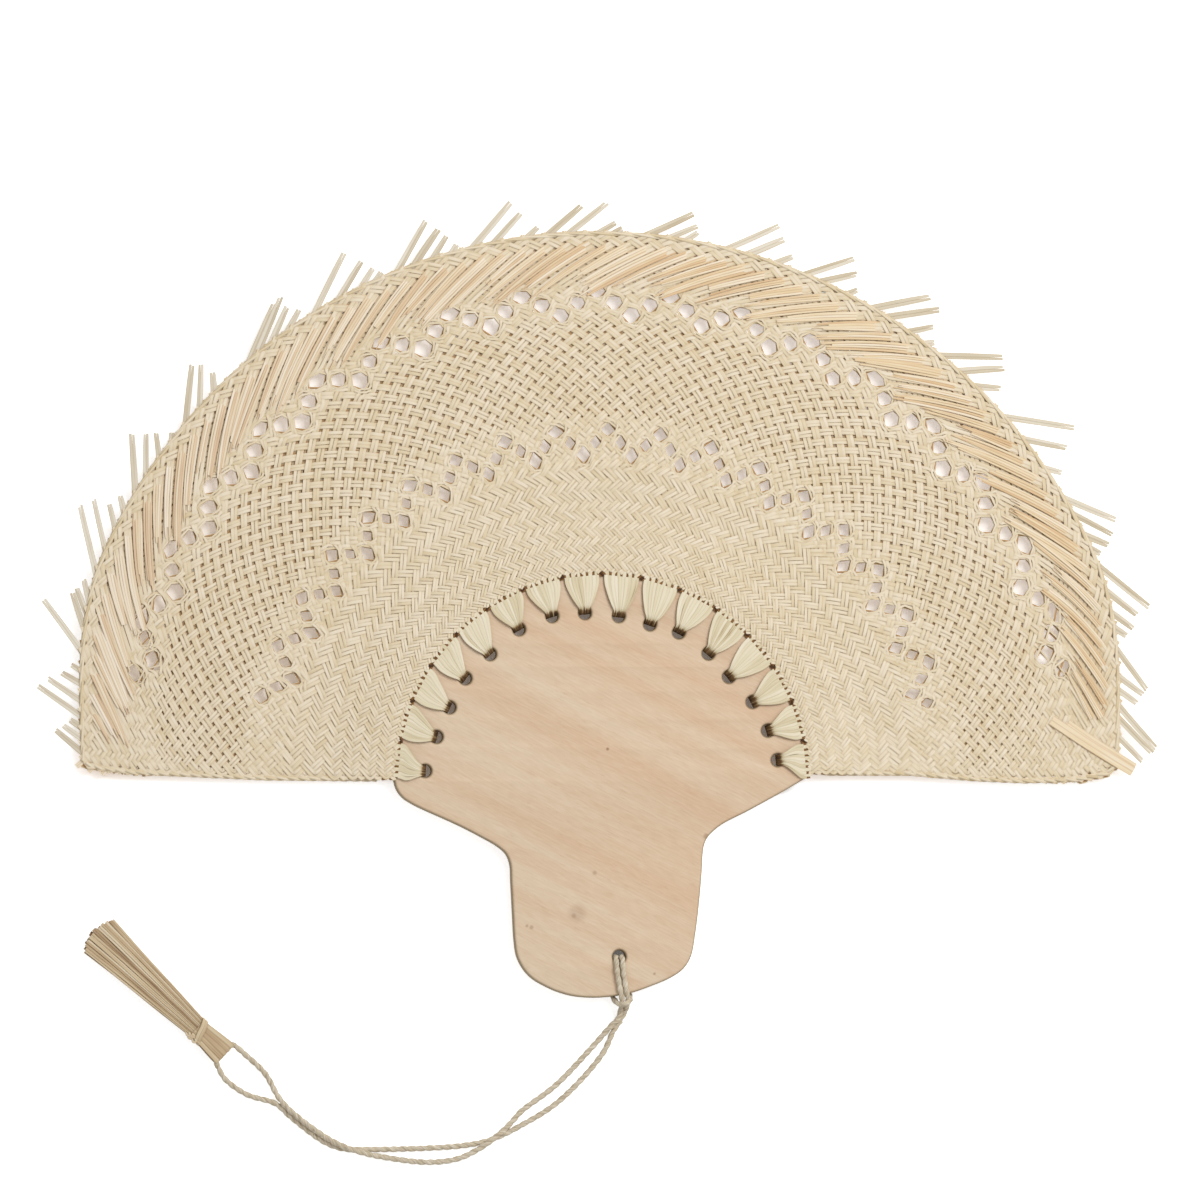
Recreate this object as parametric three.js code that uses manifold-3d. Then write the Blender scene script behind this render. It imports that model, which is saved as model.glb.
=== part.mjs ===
// A woven palm leaf fan: a half-round blade of spiralling straw laced to a flat wooden board, with a cord strap
// and a straw tassel. It lies on its back on a table. Millimetres, X to the right, Y from the grip to the rim,
// Z up off the table. The origin is the centre of the board's half-round head, on the board's back face.
import * as THREE from "three";
import { mergeVertices } from "three/addons/utils/BufferGeometryUtils.js";
import Module from "manifold-3d";

const wasm = await Module();
wasm.setup();

// Shared
const GAP = 0.3;
const OVERRUN = 1;

// Handle board: a half-round head on a grip. The list runs from the head's left end round the grip to its
// right end, across in shares of the head's radius and down in shares of the grip's length. The two sides are
// a little unlike, as on the real board, which was sawn by eye.
const BOARD_T = 5;
const HEAD_R = 82.4;
const GRIP_L = 86.5;
const HEAD_STATIONS = 30;
const ARRIS = 1.2;
const SEAT_SHARE = 0.5;
const BOARD_OUTLINE_SHARES = [
  [-1.0121, 0.0069],
  [-0.9976, -0.0393],
  [-0.9684, -0.0763],
  [-0.9248, -0.104],
  [-0.8786, -0.126],
  [-0.6917, -0.2058],
  [-0.5898, -0.2555],
  [-0.5073, -0.3006],
  [-0.4684, -0.3341],
  [-0.449, -0.3792],
  [-0.4417, -0.4624],
  [-0.432, -0.6012],
  [-0.4223, -0.7399],
  [-0.4053, -0.8092],
  [-0.3665, -0.859],
  [-0.2718, -0.9364],
  [-0.2087, -0.9734],
  [-0.1456, -0.9931],
  [-0.0485, -1],
  [0.051, -0.9977],
  [0.1481, -0.9827],
  [0.2451, -0.9526],
  [0.3471, -0.9133],
  [0.4078, -0.8717],
  [0.4417, -0.8116],
  [0.4587, -0.6936],
  [0.4709, -0.5549],
  [0.4842, -0.4162],
  [0.4891, -0.3364],
  [0.4988, -0.2844],
  [0.5182, -0.2509],
  [0.5777, -0.2012],
  [0.7063, -0.1376],
  [0.8653, -0.0555],
  [0.9782, 0.0069],
];

// Lacing: one bundle of strips through each hole of the board
const LACE_COUNT = 16;
const LACE_INSET = 14.2;
const LACE_HOLE_R = 2.5;
const BUNDLE_STRIPS = 5;
const BUNDLE_SPACE = 1.7;
const BUNDLE_T = 0.8;
const BUNDLE_NECK_T = 1.6;
const BUNDLE_CORE_T = 1.7;
const BUNDLE_CORE_W = 3;
const BUNDLE_NECK_W = 4.6;
// the holes were drilled by eye: shares of LACE_R, and shifts as shares of the pitch, from right to left
const HOLE_RADIUS_SHARES = [
  1.04, 1.02, 1.0, 0.965, 0.975, 0.98, 0.958, 0.968, 0.984, 1.004, 1.008, 0.987, 0.999, 0.991, 1.004, 1.04,
];
const HOLE_SHIFT_SHARES = [
  0.11, 0, -0.05, -0.02, -0.07, 0.04, -0.04, -0.04, 0, -0.01, 0.05, 0.19, 0.23, 0.22, 0.18, 0.21,
];

// Seam: a row of twining on each side of the blade, just outside the board
const TWINE_R = 0.45;

// Blade
const ELEMENTS = 83;
const BLADE_T = 1.2;
const RIM_R = 218.8;
const RIM_END_DROP = 10.8;
const RIM_TAPER_DEG = 25;
const BLADE_CORNER = 9;
const SELVAGE_Y = 1.2;
const SELVAGE_WAVE = 1;
const SELVAGE_WAVE_COUNT = 1.3;
const WEDGE_LENGTH = 7;

// Eyelets: a zigzag inside the plain weave and one outside it, at shares of the blade's depth
const EYELET_W = 4.6;
const EYELET_H = 5.4;
const INNER_ZIGZAG_SHARES = [0.4147, 0.376, 0.3389, 0.376];
const OUTER_ZIGZAG_SHARES = [0.7534, 0.7906, 0.8218, 0.7906];
const INNER_START_DEG = 1.4;
const OUTER_START_DEG = 3.9;
const INNER_SPREAD = 0.991;
const OUTER_SPREAD = 1.011;
const ZIGZAG_REACH_DEG = 77;

// Rim tufts: strips turned back over the rim, and the fringe that stands past it
const TUFT_T = 0.7;
const RIM_FOLD = 4.6;
const STRIP_W = 2.2;
const TUCK_LENGTH = 32;
const TUCK_LEAN_DEG = 60;
const TUCK_END_LEAN_DEG = 57;
const TUCK_END_SHARE = 0.46;
const SPIKE_LENGTH = 22;
const SPIKE_LENGTH_SHARES = [1, 0.73, 0.42, 0.2];
const TUCK_LENGTH_SHARES = [0.92, 1, 0.96, 0.86];
// where each tuft starts, from left to right, and how far its spikes lean from straight out
const TUFT_EDGES_DEG = [
  179.3, 173.1, 165.8, 157.7, 149.3, 140.3, 130.8, 122.3, 112.8, 104.3, 95.1, 85.8, 77.1, 68.6, 60.5, 51.5,
  42.4, 32.8, 23.1, 13.6, 7.3, 0.9,
];
const SPIKE_LEANS_DEG = [
  14, 26, 42, 53, 58, 55, 60, 57, 52, 54, 56, 59, 54, 51, 48, 50, 50, 53, 58, 54, 50,
];
const END_SPIKE_SHARE = 0.45;

// Cord: the hitch round the grip and the strap's loop
const CORD_D = 2;
const CORD_HOLE_R = 2.6;
const CORD_HOLE_X = 6.6;
const CORD_HOLE_INSET = 16.9;
const THROAT_R = 2.2;
const THROAT_X = 7.6;
const THROAT_DROP = 25.2;
const THROAT_Z = 0;

// Tassel
const TASSEL_X = -151.4;
const TASSEL_Y = -108.8;
const TASSEL_TURN_DEG = 136.9;
const TASSEL_HEAD_L = 12.4;
const TASSEL_HEAD_W = 10.4;
const TASSEL_HEAD_T = 5;
const TASSEL_NECK_W = 8.6;
const TASSEL_NECK_T = 3.8;
const TASSEL_EYE_W = 5.4;
const TASSEL_EYE_R = 1.45;
const BINDING_L = 3.6;
const BINDING_WALL = 0.6;
const SKIRT_L = 56;
const SKIRT_END_W = 17.4;
const SKIRT_END_T = 4.6;
const SKIRT_STRIP_T = 0.9;
const SKIRT_ROOT_L = 5;
const SKIRT_STRIPS = 8;

// Worked out from the sizes above
const CORD_R = CORD_D / 2;
const FRONT_Z = BOARD_T + GAP;
const CORD_FRONT_Z = FRONT_Z + CORD_R;
const FLOOR_Z = -GAP - CORD_D;
const LYING_Z = FLOOR_Z + CORD_R * 1.15;
const LACE_PITCH = Math.PI / LACE_COUNT;
const LACE_R = HEAD_R - LACE_INSET;
const ELEMENT_PITCH = Math.PI / ELEMENTS;
const TWINE_AT = HEAD_R + GAP + TWINE_R * 1.6;
const BLADE_IN = TWINE_AT + TWINE_R + GAP;
const CORD_HOLE_Y = CORD_HOLE_INSET - GRIP_L;
const THROAT_Y = CORD_HOLE_Y - THROAT_DROP;
const MID_Z = BOARD_T / 2;
const BLADE_LOW = MID_Z - BLADE_T / 2;
const BLADE_TOP = MID_Z + BLADE_T / 2;
const WEDGE_END = BLADE_IN + WEDGE_LENGTH;
const RIM_END_R = RIM_R - RIM_END_DROP;
const TASSEL_Z = FLOOR_Z + TASSEL_NECK_T / 2 + GAP + BINDING_WALL + CORD_R * 0.1;

const straw = new THREE.MeshStandardMaterial({ color: 0xe8dcbc, roughness: 0.72 });
const strawGold = new THREE.MeshStandardMaterial({ color: 0xe2c999, roughness: 0.68 });
const beech = new THREE.MeshStandardMaterial({ color: 0xdec3a5, roughness: 0.62 });
const twist = new THREE.MeshStandardMaterial({ color: 0xcdbfa3, roughness: 0.85 });
const tasselStraw = new THREE.MeshStandardMaterial({ color: 0xccae7e, roughness: 0.7 });

const fan = new THREE.Group();

function add(name, geometry, material, parent = fan) {
  const mesh = new THREE.Mesh(geometry, material);
  mesh.name = name;
  parent.add(mesh);
  return mesh;
}

// A closed mesh as a solid that can be joined and cut
function solid(geometry) {
  const bare = geometry.clone();
  bare.deleteAttribute("normal");
  bare.deleteAttribute("uv");
  const merged = mergeVertices(bare, GAP / 1000);
  return new wasm.Manifold(
    new wasm.Mesh({
      numProp: 3,
      vertProperties: new Float32Array(merged.attributes.position.array),
      triVerts: new Uint32Array(merged.index.array),
    }),
  );
}

function geometryOf(body) {
  const mesh = body.getMesh();
  const geometry = new THREE.BufferGeometry();
  geometry.setAttribute("position", new THREE.BufferAttribute(mesh.vertProperties, mesh.numProp));
  geometry.setIndex(new THREE.BufferAttribute(mesh.triVerts, 1));
  geometry.computeVertexNormals();
  return geometry;
}

// A closed solid through a row of like sections, each a list of points in the same order
function loft(sections, outline) {
  const count = sections[0].length;
  const positions = sections.flat().flatMap((p) => [p.x, p.y, p.z]);
  const index = [];
  for (let s = 0; s + 1 < sections.length; s++) {
    for (let i = 0; i < count; i++) {
      const a = s * count + i;
      const b = s * count + ((i + 1) % count);
      index.push(a, b, b + count, a, b + count, a + count);
    }
  }
  const last = (sections.length - 1) * count;
  for (const [a, b, c] of THREE.ShapeUtils.triangulateShape(outline, [])) {
    index.push(c, b, a, last + a, last + b, last + c);
  }
  const geometry = new THREE.BufferGeometry();
  geometry.setAttribute("position", new THREE.Float32BufferAttribute(positions, 3));
  geometry.setIndex(index);
  if (volume(geometry) < 0) {
    geometry.setIndex(index.map((_, i) => index[i - (i % 3) + [0, 2, 1][i % 3]]));
  }
  geometry.computeVertexNormals();
  return geometry;
}

function volume(geometry) {
  const p = geometry.attributes.position;
  const [a, b, c] = [new THREE.Vector3(), new THREE.Vector3(), new THREE.Vector3()];
  let total = 0;
  for (let i = 0; i < geometry.index.count; i += 3) {
    a.fromBufferAttribute(p, geometry.index.getX(i));
    b.fromBufferAttribute(p, geometry.index.getX(i + 1));
    c.fromBufferAttribute(p, geometry.index.getX(i + 2));
    total += a.dot(b.cross(c));
  }
  return total;
}

// Cuts one small clean triangle out of the flat underside round the origin, which is the face the board rests on
function withSeat(geometry) {
  const index = Array.from(geometry.index.array);
  const positions = Array.from(geometry.attributes.position.array);
  const plan = (i) => new THREE.Vector2(positions[3 * i], positions[3 * i + 1]);
  const under = (i) => Math.abs(positions[3 * i + 2]) < GAP / 100;
  for (let t = 0; t < index.length; t += 3) {
    const outer = index.slice(t, t + 3);
    const [a, b, c] = outer.map(plan);
    const holds = [a.cross(b), b.cross(c), c.cross(a)].every((turn) => turn < 0);
    if (!outer.every(under) || !holds) continue;
    const inner = outer.map((i) => {
      const p = plan(i).multiplyScalar(SEAT_SHARE);
      positions.push(p.x, p.y, positions[3 * i + 2]);
      return positions.length / 3 - 1;
    });
    const rim = [0, 1, 2].flatMap((k) => {
      const next = (k + 1) % 3;
      return [outer[k], outer[next], inner[next], outer[k], inner[next], inner[k]];
    });
    index.splice(t, 3, ...inner, ...rim);
    break;
  }
  const seated = new THREE.BufferGeometry();
  seated.setAttribute("position", new THREE.Float32BufferAttribute(positions, 3));
  seated.setIndex(index);
  seated.computeVertexNormals();
  return seated;
}

function polar(radius, angle, z = 0) {
  return new THREE.Vector3(radius * Math.cos(angle), radius * Math.sin(angle), z);
}

function disc(radius, sides) {
  return new THREE.Shape(
    Array.from({ length: sides }, (_, i) => {
      const turn = ((i + 0.5) / sides) * 2 * Math.PI;
      return new THREE.Vector2(radius * Math.cos(turn), radius * Math.sin(turn));
    }),
  );
}

// A flat plate between two heights
function plate(shape, low, thickness) {
  return new THREE.ExtrudeGeometry(shape, { depth: thickness, bevelEnabled: false }).translate(0, 0, low);
}

function tube(path, radius, sides, steps) {
  return new THREE.ExtrudeGeometry(disc(radius, sides), { extrudePath: path, steps, bevelEnabled: false });
}

function boardOutline() {
  const head = new THREE.EllipseCurve(0, 0, HEAD_R, HEAD_R, 0, Math.PI, false);
  const grip = BOARD_OUTLINE_SHARES.map(([x, y]) => new THREE.Vector2(x * HEAD_R, y * GRIP_L));
  return [...head.getPoints(HEAD_STATIONS).slice(1, -1), ...grip];
}

function handleBoard() {
  const blank = new THREE.ExtrudeGeometry(new THREE.Shape(boardOutline()), {
    depth: BOARD_T - 2 * ARRIS,
    bevelThickness: ARRIS,
    bevelSize: ARRIS,
    bevelOffset: -ARRIS,
    bevelSegments: 2,
  }).translate(0, 0, ARRIS);
  let board = solid(blank);
  const drill = (radius, x, y) => {
    const bit = plate(disc(radius, 12), -OVERRUN, BOARD_T + 2 * OVERRUN).translate(x, y, 0);
    board = board.subtract(solid(bit));
  };
  for (let i = 0; i < LACE_COUNT; i++) {
    const hole = polar(holeRadius(i), holeAngle(i));
    drill(LACE_HOLE_R, hole.x, hole.y);
  }
  drill(CORD_HOLE_R, CORD_HOLE_X, CORD_HOLE_Y);
  return withSeat(geometryOf(board));
}

function holeRadius(i) {
  return LACE_R * HOLE_RADIUS_SHARES[i % HOLE_RADIUS_SHARES.length];
}

function holeAngle(i) {
  return (i + 0.5 + HOLE_SHIFT_SHARES[i % HOLE_SHIFT_SHARES.length]) * LACE_PITCH;
}

// One bundle: a ridged fan of strips from the seam to its hole, through the board and back out to the seam
function strandBundle(i) {
  const hole = holeRadius(i);
  const near = hole + LACE_HOLE_R + BUNDLE_T;
  const seam = HEAD_R;
  const wide = seam * 2 * Math.tan(LACE_PITCH / 2) - BUNDLE_SPACE;
  const inHole = Math.sqrt((LACE_HOLE_R * 0.966 - GAP) ** 2 - (BUNDLE_CORE_W / 2) ** 2);
  const wall = hole + inHole;
  const rise = FRONT_Z - MID_Z;
  // distance out, height of the inner face, the same for the outer face, and the width
  const half = [
    [wall, 0, wall - BUNDLE_CORE_T, 0, BUNDLE_CORE_W, 0],
    [wall, rise, wall - BUNDLE_CORE_T, rise + BUNDLE_T, BUNDLE_CORE_W, 0],
    [near, rise, near - BUNDLE_T, rise + BUNDLE_NECK_T, BUNDLE_NECK_W, 0.15],
    [seam, rise, seam, rise + BUNDLE_T, wide, 1],
  ];
  const back = half.slice(1).reverse().map(([a, b, c, d, w, t]) => [a, -b, c, -d, w, t]);
  const ridge = ridgedProfile(BUNDLE_STRIPS);
  const sections = [...back, ...half].map(([inR, inZ, outR, outZ, width, turn]) => {
    const angle = THREE.MathUtils.lerp(holeAngle(i), (i + 0.5) * LACE_PITCH, turn);
    return ridge.map(({ x, y }) => {
      const across = x * width;
      const radius = THREE.MathUtils.lerp(inR, outR, y);
      const z = MID_Z + THREE.MathUtils.lerp(inZ, outZ, y);
      return polar(radius, angle, z).addScaledVector(polar(1, angle + Math.PI / 2), across);
    });
  });
  return loft(sections, ridge);
}

// A flat base with a row of crests over it, one wide and one high
function ridgedProfile(crests) {
  const valley = 0.68;
  const points = [new THREE.Vector2(-0.5, 0), new THREE.Vector2(0.5, 0), new THREE.Vector2(0.5, valley)];
  for (let k = crests - 1; k >= 0; k--) {
    points.push(new THREE.Vector2((k + 0.5) / crests - 0.5, 1));
    points.push(new THREE.Vector2(k / crests - 0.5, valley));
  }
  return points;
}

// Seam twining: a thin round cord that follows the board's head on one side of the blade
function seamTwine(z) {
  const sides = disc(TWINE_R, 5).getPoints().slice(0, 5);
  const stations = 30;
  const sections = Array.from({ length: stations + 1 }, (_, s) => {
    const angle = (Math.PI * s) / stations;
    return sides.map(({ x, y }) => polar(TWINE_AT + x, angle, z + y));
  });
  return loft(sections, sides);
}

// 0 at the two selvages and 1 from the taper's angle on
function taper(angle) {
  const up = Math.min(angle, Math.PI - angle);
  return THREE.MathUtils.smoothstep(up, 0, THREE.MathUtils.degToRad(RIM_TAPER_DEG));
}

function rimRadius(angle) {
  return THREE.MathUtils.lerp(RIM_END_R, RIM_R, taper(angle));
}

function selvageY(x) {
  const along = (Math.abs(x) - BLADE_IN) / (RIM_END_R - BLADE_IN);
  return SELVAGE_Y + SELVAGE_WAVE * Math.cos(2 * Math.PI * SELVAGE_WAVE_COUNT * along);
}

function bladeOutline(inner) {
  const points = [];
  const edge = 7;
  for (let s = 0; s <= edge; s++) {
    const x = inner + ((RIM_END_R - BLADE_CORNER - inner) * s) / edge;
    points.push(new THREE.Vector2(x, selvageY(x)));
  }
  const start = Math.atan2(BLADE_CORNER + SELVAGE_Y, RIM_END_R);
  const foot = points[points.length - 1];
  const shoulder = polar(rimRadius(start), start);
  const corner = new THREE.QuadraticBezierCurve(
    foot,
    new THREE.Vector2(RIM_END_R, foot.y),
    new THREE.Vector2(shoulder.x, shoulder.y),
  );
  points.push(...corner.getPoints(4).slice(1));
  const stations = 44;
  for (let s = 1; s < stations / 2; s++) {
    const angle = start + ((Math.PI - 2 * start) * s) / stations;
    const p = polar(rimRadius(angle), angle);
    points.push(new THREE.Vector2(p.x, p.y));
  }
  const mirrored = points.map((p) => new THREE.Vector2(-p.x, p.y)).reverse();
  return [...points, new THREE.Vector2(0, RIM_R), ...mirrored];
}

function innerArc(radius) {
  const from = Math.asin(selvageY(radius) / radius);
  const stations = 36;
  return Array.from({ length: stations - 1 }, (_, s) => {
    const angle = Math.PI - from - ((Math.PI - 2 * from) * (s + 1)) / stations;
    const p = polar(radius, angle);
    return new THREE.Vector2(p.x, p.y);
  });
}

// The eyelets of one zigzag: four to a period, one at each element of the weave, as hexagons on end
function zigzag(shares, startDeg, spread) {
  const start = THREE.MathUtils.degToRad(startDeg);
  const reach = THREE.MathUtils.degToRad(ZIGZAG_REACH_DEG);
  const holes = [];
  for (let k = -ELEMENTS; k <= ELEMENTS; k++) {
    const lean = (start + k * ELEMENT_PITCH) * spread;
    if (Math.abs(lean) > reach) continue;
    const share = shares[((k % shares.length) + shares.length) % shares.length];
    const radius = THREE.MathUtils.lerp(BLADE_IN, RIM_R, share);
    holes.push(eyelet(radius, Math.PI / 2 - lean));
  }
  return holes;
}

const EYELET_CORNER_SHARES = [
  [0, 0.5],
  [0.5, 0.22],
  [0.5, -0.22],
  [0, -0.5],
  [-0.5, -0.22],
  [-0.5, 0.22],
];

function eyelet(radius, angle) {
  const points = EYELET_CORNER_SHARES.map(([across, out]) => {
    const p = polar(radius + out * EYELET_H, angle);
    p.addScaledVector(polar(1, angle - Math.PI / 2), across * EYELET_W);
    return new THREE.Vector2(p.x, p.y);
  });
  return new THREE.Path(points);
}

// Blade: a pierced half ring, with a wedge along the seam where its two layers part round the board
function wovenBlade() {
  const inner = BLADE_IN + WEDGE_LENGTH / 2;
  const shape = new THREE.Shape([...bladeOutline(inner), ...innerArc(inner)]);
  shape.holes = [
    ...zigzag(INNER_ZIGZAG_SHARES, INNER_START_DEG, INNER_SPREAD),
    ...zigzag(OUTER_ZIGZAG_SHARES, OUTER_START_DEG, OUTER_SPREAD),
  ];
  const sheet = solid(plate(shape, BLADE_LOW, BLADE_T));
  const tip = BLADE_T * 0.4;
  const section = [
    new THREE.Vector2(BLADE_IN, -MID_Z - BUNDLE_T),
    new THREE.Vector2(WEDGE_END, -tip),
    new THREE.Vector2(WEDGE_END, tip),
    new THREE.Vector2(BLADE_IN, MID_Z + BUNDLE_T),
  ];
  const stations = 36;
  const from = Math.asin(SELVAGE_Y / BLADE_IN);
  const ring = Array.from({ length: stations + 1 }, (_, s) => {
    const angle = from + ((Math.PI - 2 * from) * s) / stations;
    return section.map(({ x, y }) => polar(x, angle, MID_Z + y));
  });
  return geometryOf(sheet.add(solid(loft(ring, section))));
}

// Rim tuft: a fold over the rim, four tucked ends on the front and four spikes past the rim, cut as one comb
function rimTuft(g) {
  const from = THREE.MathUtils.degToRad(TUFT_EDGES_DEG[g]) - GAP / 2 / RIM_R;
  const to = THREE.MathUtils.degToRad(TUFT_EDGES_DEG[g + 1]) + GAP / 2 / RIM_R;
  const strips = SPIKE_LENGTH_SHARES.length;
  const pitch = (from - to) / strips;
  const spikeLean = THREE.MathUtils.degToRad(SPIKE_LEANS_DEG[g]);
  const tuckLean = THREE.MathUtils.degToRad(
    THREE.MathUtils.lerp(TUCK_END_LEAN_DEG, TUCK_LEAN_DEG, taper((from + to) / 2)),
  );
  const spikes = g === 0 ? SPIKE_LENGTH * END_SPIKE_SHARE : SPIKE_LENGTH;
  const outer = (angle) => rimRadius(angle) + BLADE_T / 2;
  const inner = (angle) => rimRadius(angle) - RIM_FOLD;
  const points = [];
  const put = (p) => points.push(new THREE.Vector2(p.x, p.y));
  const finger = (radiusAt, angle, heading, length, width, sense) => {
    const direction = polar(1, heading);
    const half = width / 2 / Math.abs(Math.cos(angle - heading)) / radiusAt(angle);
    const first = polar(radiusAt(angle + sense * half), angle + sense * half);
    const second = polar(radiusAt(angle - sense * half), angle - sense * half);
    // a strip that heads for the selvage is cut short of it
    const room = direction.y < 0 ? (first.y - SELVAGE_Y - 2 * SELVAGE_WAVE) / -direction.y : length;
    const cut = Math.max(STRIP_W / 2, Math.min(length, room));
    put(first);
    put(first.clone().addScaledVector(direction, cut));
    put(second.clone().addScaledVector(direction, cut));
    put(second);
  };
  put(polar(outer(from), from));
  for (let j = 0; j < strips; j++) {
    const angle = from - (j + 0.5) * pitch;
    finger(outer, angle, angle - spikeLean, spikes * SPIKE_LENGTH_SHARES[j], STRIP_W, 1);
  }
  put(polar(outer(to), to));
  put(polar(inner(to), to));
  for (let j = strips - 1; j >= 0; j--) {
    const angle = from - (j + 0.5) * pitch;
    const full = THREE.MathUtils.lerp(TUCK_END_SHARE, 1, taper(angle));
    const length = TUCK_LENGTH * TUCK_LENGTH_SHARES[j] * full;
    finger(inner, angle, angle - tuckLean + Math.PI, length, STRIP_W * full, -1);
  }
  put(polar(inner(from), from));
  return plate(new THREE.Shape(points), BLADE_TOP + GAP, TUFT_T);
}

// Hitch: both legs come down the front from the hole, under the bight that comes round from the back. Its
// points are measured down from the cord hole.
const HITCH_POINTS = [
  [6.6, -24.6, 0.9],
  [6.9, -23.2, 2.2],
  [6.9, -21, 4.0],
  [6.6, -18.4, 5.6],
  [6.2, -14.4, CORD_FRONT_Z],
  [5.5, -3.6, CORD_FRONT_Z],
  [5.4, -1.3, 5.9],
  [5.35, -0.4, 4.4],
  [5.35, -0.3, 0.6],
  [5.3, -1.3, -0.9],
  [5.2, -3.6, -1.2],
  [4.6, -14.4, -1.2],
  [3.9, -18.8, -0.6],
  [4.0, -21.6, 2.6],
  [5.6, -23.2, 5.4],
  [8.4, -23.8, 6.2],
  [11.2, -23, 5.4],
  [12.8, -21.2, 2.6],
  [12.9, -18.6, -0.6],
  [11.0, -14.4, -1.2],
  [8.4, -3.6, -1.2],
  [7.9, -1.3, -0.9],
  [7.85, -0.3, 0.6],
  [7.85, -0.4, 4.4],
  [7.9, -1.3, 5.9],
  [8.1, -3.6, CORD_FRONT_Z],
  [8.8, -14.4, CORD_FRONT_Z],
  [9.4, -18.4, 5.6],
  [9.6, -21, 4.0],
  [9.3, -23.3, 2.2],
  [8.9, -24.6, 0.9],
];

function hitchCord() {
  const points = HITCH_POINTS.map(([x, down, z]) => new THREE.Vector3(x, CORD_HOLE_Y + down, z));
  const path = new THREE.CatmullRomCurve3(points, false, "centripetal");
  const wrap = solid(tube(path, CORD_R, 6, 64));
  const ball = new THREE.SphereGeometry(THROAT_R, 10, 6).rotateX(Math.PI / 2);
  return geometryOf(wrap.add(solid(ball.translate(THROAT_X, THROAT_Y, THROAT_Z))));
}

// Strap: one cord from the hitch to the tassel, through it, and back to the hitch. Its upper leg, the first,
// rides over the lower one twice.
const OVER_Z = LYING_Z + CORD_D + GAP;
const STRAP_POINTS = [
  [5.0, -95.8, -0.6],
  [-4.2, -106, LYING_Z],
  [-18.2, -120.4, LYING_Z],
  [-32.2, -130.9, LYING_Z],
  [-35.4, -134.4, -0.7],
  [-38.7, -137.7, 0.35],
  [-43.8, -141.9, OVER_Z],
  [-48.9, -145.5, 0.3],
  [-57.6, -149.6, LYING_Z],
  [-70, -151, LYING_Z],
  [-82, -149.9, LYING_Z],
  [-89.6, -148.6, -0.6],
  [-96.2, -147.2, 0.8],
  [-102.9, -145, OVER_Z],
  [-109.5, -141.8, 0.6],
  [-121.7, -132.9, 0.6],
  [-127.1, -127.2, 0.1],
  [-133, -117.4, LYING_Z],
  [-141.6, -109.9, -0.7],
  [-144.7, -107.4, TASSEL_Z - 0.4],
  [-147, -106.2, TASSEL_Z],
  [-150, -107.3, TASSEL_Z],
  [-152.7, -110.2, TASSEL_Z],
  [-153.6, -112.8, TASSEL_Z],
  [-152.2, -115.7, TASSEL_Z - 0.4],
  [-149.6, -119.4, -0.7],
  [-141, -124.8, LYING_Z],
  [-128.6, -129, LYING_Z],
  [-122.9, -134.3, LYING_Z],
  [-110.3, -143.4, LYING_Z],
  [-103.1, -145.7, LYING_Z],
  [-96, -145.7, LYING_Z],
  [-84, -146, LYING_Z],
  [-70, -145.3, LYING_Z],
  [-54.1, -144.2, LYING_Z],
  [-43.8, -141.9, LYING_Z],
  [-32.2, -136.4, LYING_Z],
  [-17, -126.8, LYING_Z],
  [1.5, -107.9, LYING_Z],
  [6.9, -97.7, -0.6],
];
const BIGHT_FROM_SHARE = 0.478;
const BIGHT_TO_SHARE = 0.522;

// A stretch of a longer curve, so that neighbouring stretches meet face to face
class Stretch extends THREE.Curve {
  constructor(whole, from, to) {
    super();
    this.whole = whole;
    this.from = from;
    this.to = to;
  }

  getPoint(t, target = new THREE.Vector3()) {
    return this.whole.getPointAt(THREE.MathUtils.lerp(this.from, this.to, t), target);
  }

  getTangent(t, target = new THREE.Vector3()) {
    return this.whole.getTangentAt(THREE.MathUtils.lerp(this.from, this.to, t), target);
  }
}

const strap = new THREE.CatmullRomCurve3(
  STRAP_POINTS.map(([x, y, z]) => new THREE.Vector3(x, y, z)),
  false,
  "centripetal",
);
strap.arcLengthDivisions = 2000;

function strapPiece(from, to, steps) {
  return tube(new Stretch(strap, from, to), CORD_R, 8, steps);
}

// Tassel: built along X from the strap's bight, then turned and placed
const tassel = new THREE.Group();
tassel.position.set(TASSEL_X, TASSEL_Y, TASSEL_Z);
tassel.rotation.z = THREE.MathUtils.degToRad(TASSEL_TURN_DEG);
fan.add(tassel);

// An oval of twelve points across X
function oval(x, width, thickness) {
  const sides = 12;
  return Array.from({ length: sides }, (_, i) => {
    const turn = ((i + 0.5) / sides) * 2 * Math.PI;
    const flat = (value) => Math.sign(value) * Math.abs(value) ** 0.7;
    return new THREE.Vector3(
      x,
      (flat(Math.cos(turn)) * width) / 2,
      (flat(Math.sin(turn)) * thickness) / 2,
    );
  });
}

function ovalLoft(sections) {
  return loft(sections, sections[0].map((p) => new THREE.Vector2(p.y, p.z)));
}

function tasselHead() {
  const nose = TASSEL_HEAD_T / 2;
  const body = ovalLoft([
    oval(-nose, TASSEL_EYE_W * 0.86, TASSEL_HEAD_T * 0.4),
    oval(-nose * 0.7, TASSEL_EYE_W, TASSEL_HEAD_T * 0.8),
    oval(0, TASSEL_EYE_W, TASSEL_HEAD_T),
    oval(TASSEL_EYE_W / 2, TASSEL_EYE_W * 1.3, TASSEL_HEAD_T),
    oval(TASSEL_EYE_W, TASSEL_HEAD_W, TASSEL_HEAD_T * 0.98),
    oval(TASSEL_HEAD_L - BINDING_L / 2, TASSEL_NECK_W, TASSEL_NECK_T),
    oval(TASSEL_HEAD_L, TASSEL_NECK_W, TASSEL_NECK_T),
  ]);
  const bore = plate(disc(TASSEL_EYE_R, 12), -TASSEL_HEAD_W / 2, TASSEL_HEAD_W).rotateX(Math.PI / 2);
  return geometryOf(solid(body).subtract(solid(bore)));
}

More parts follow.
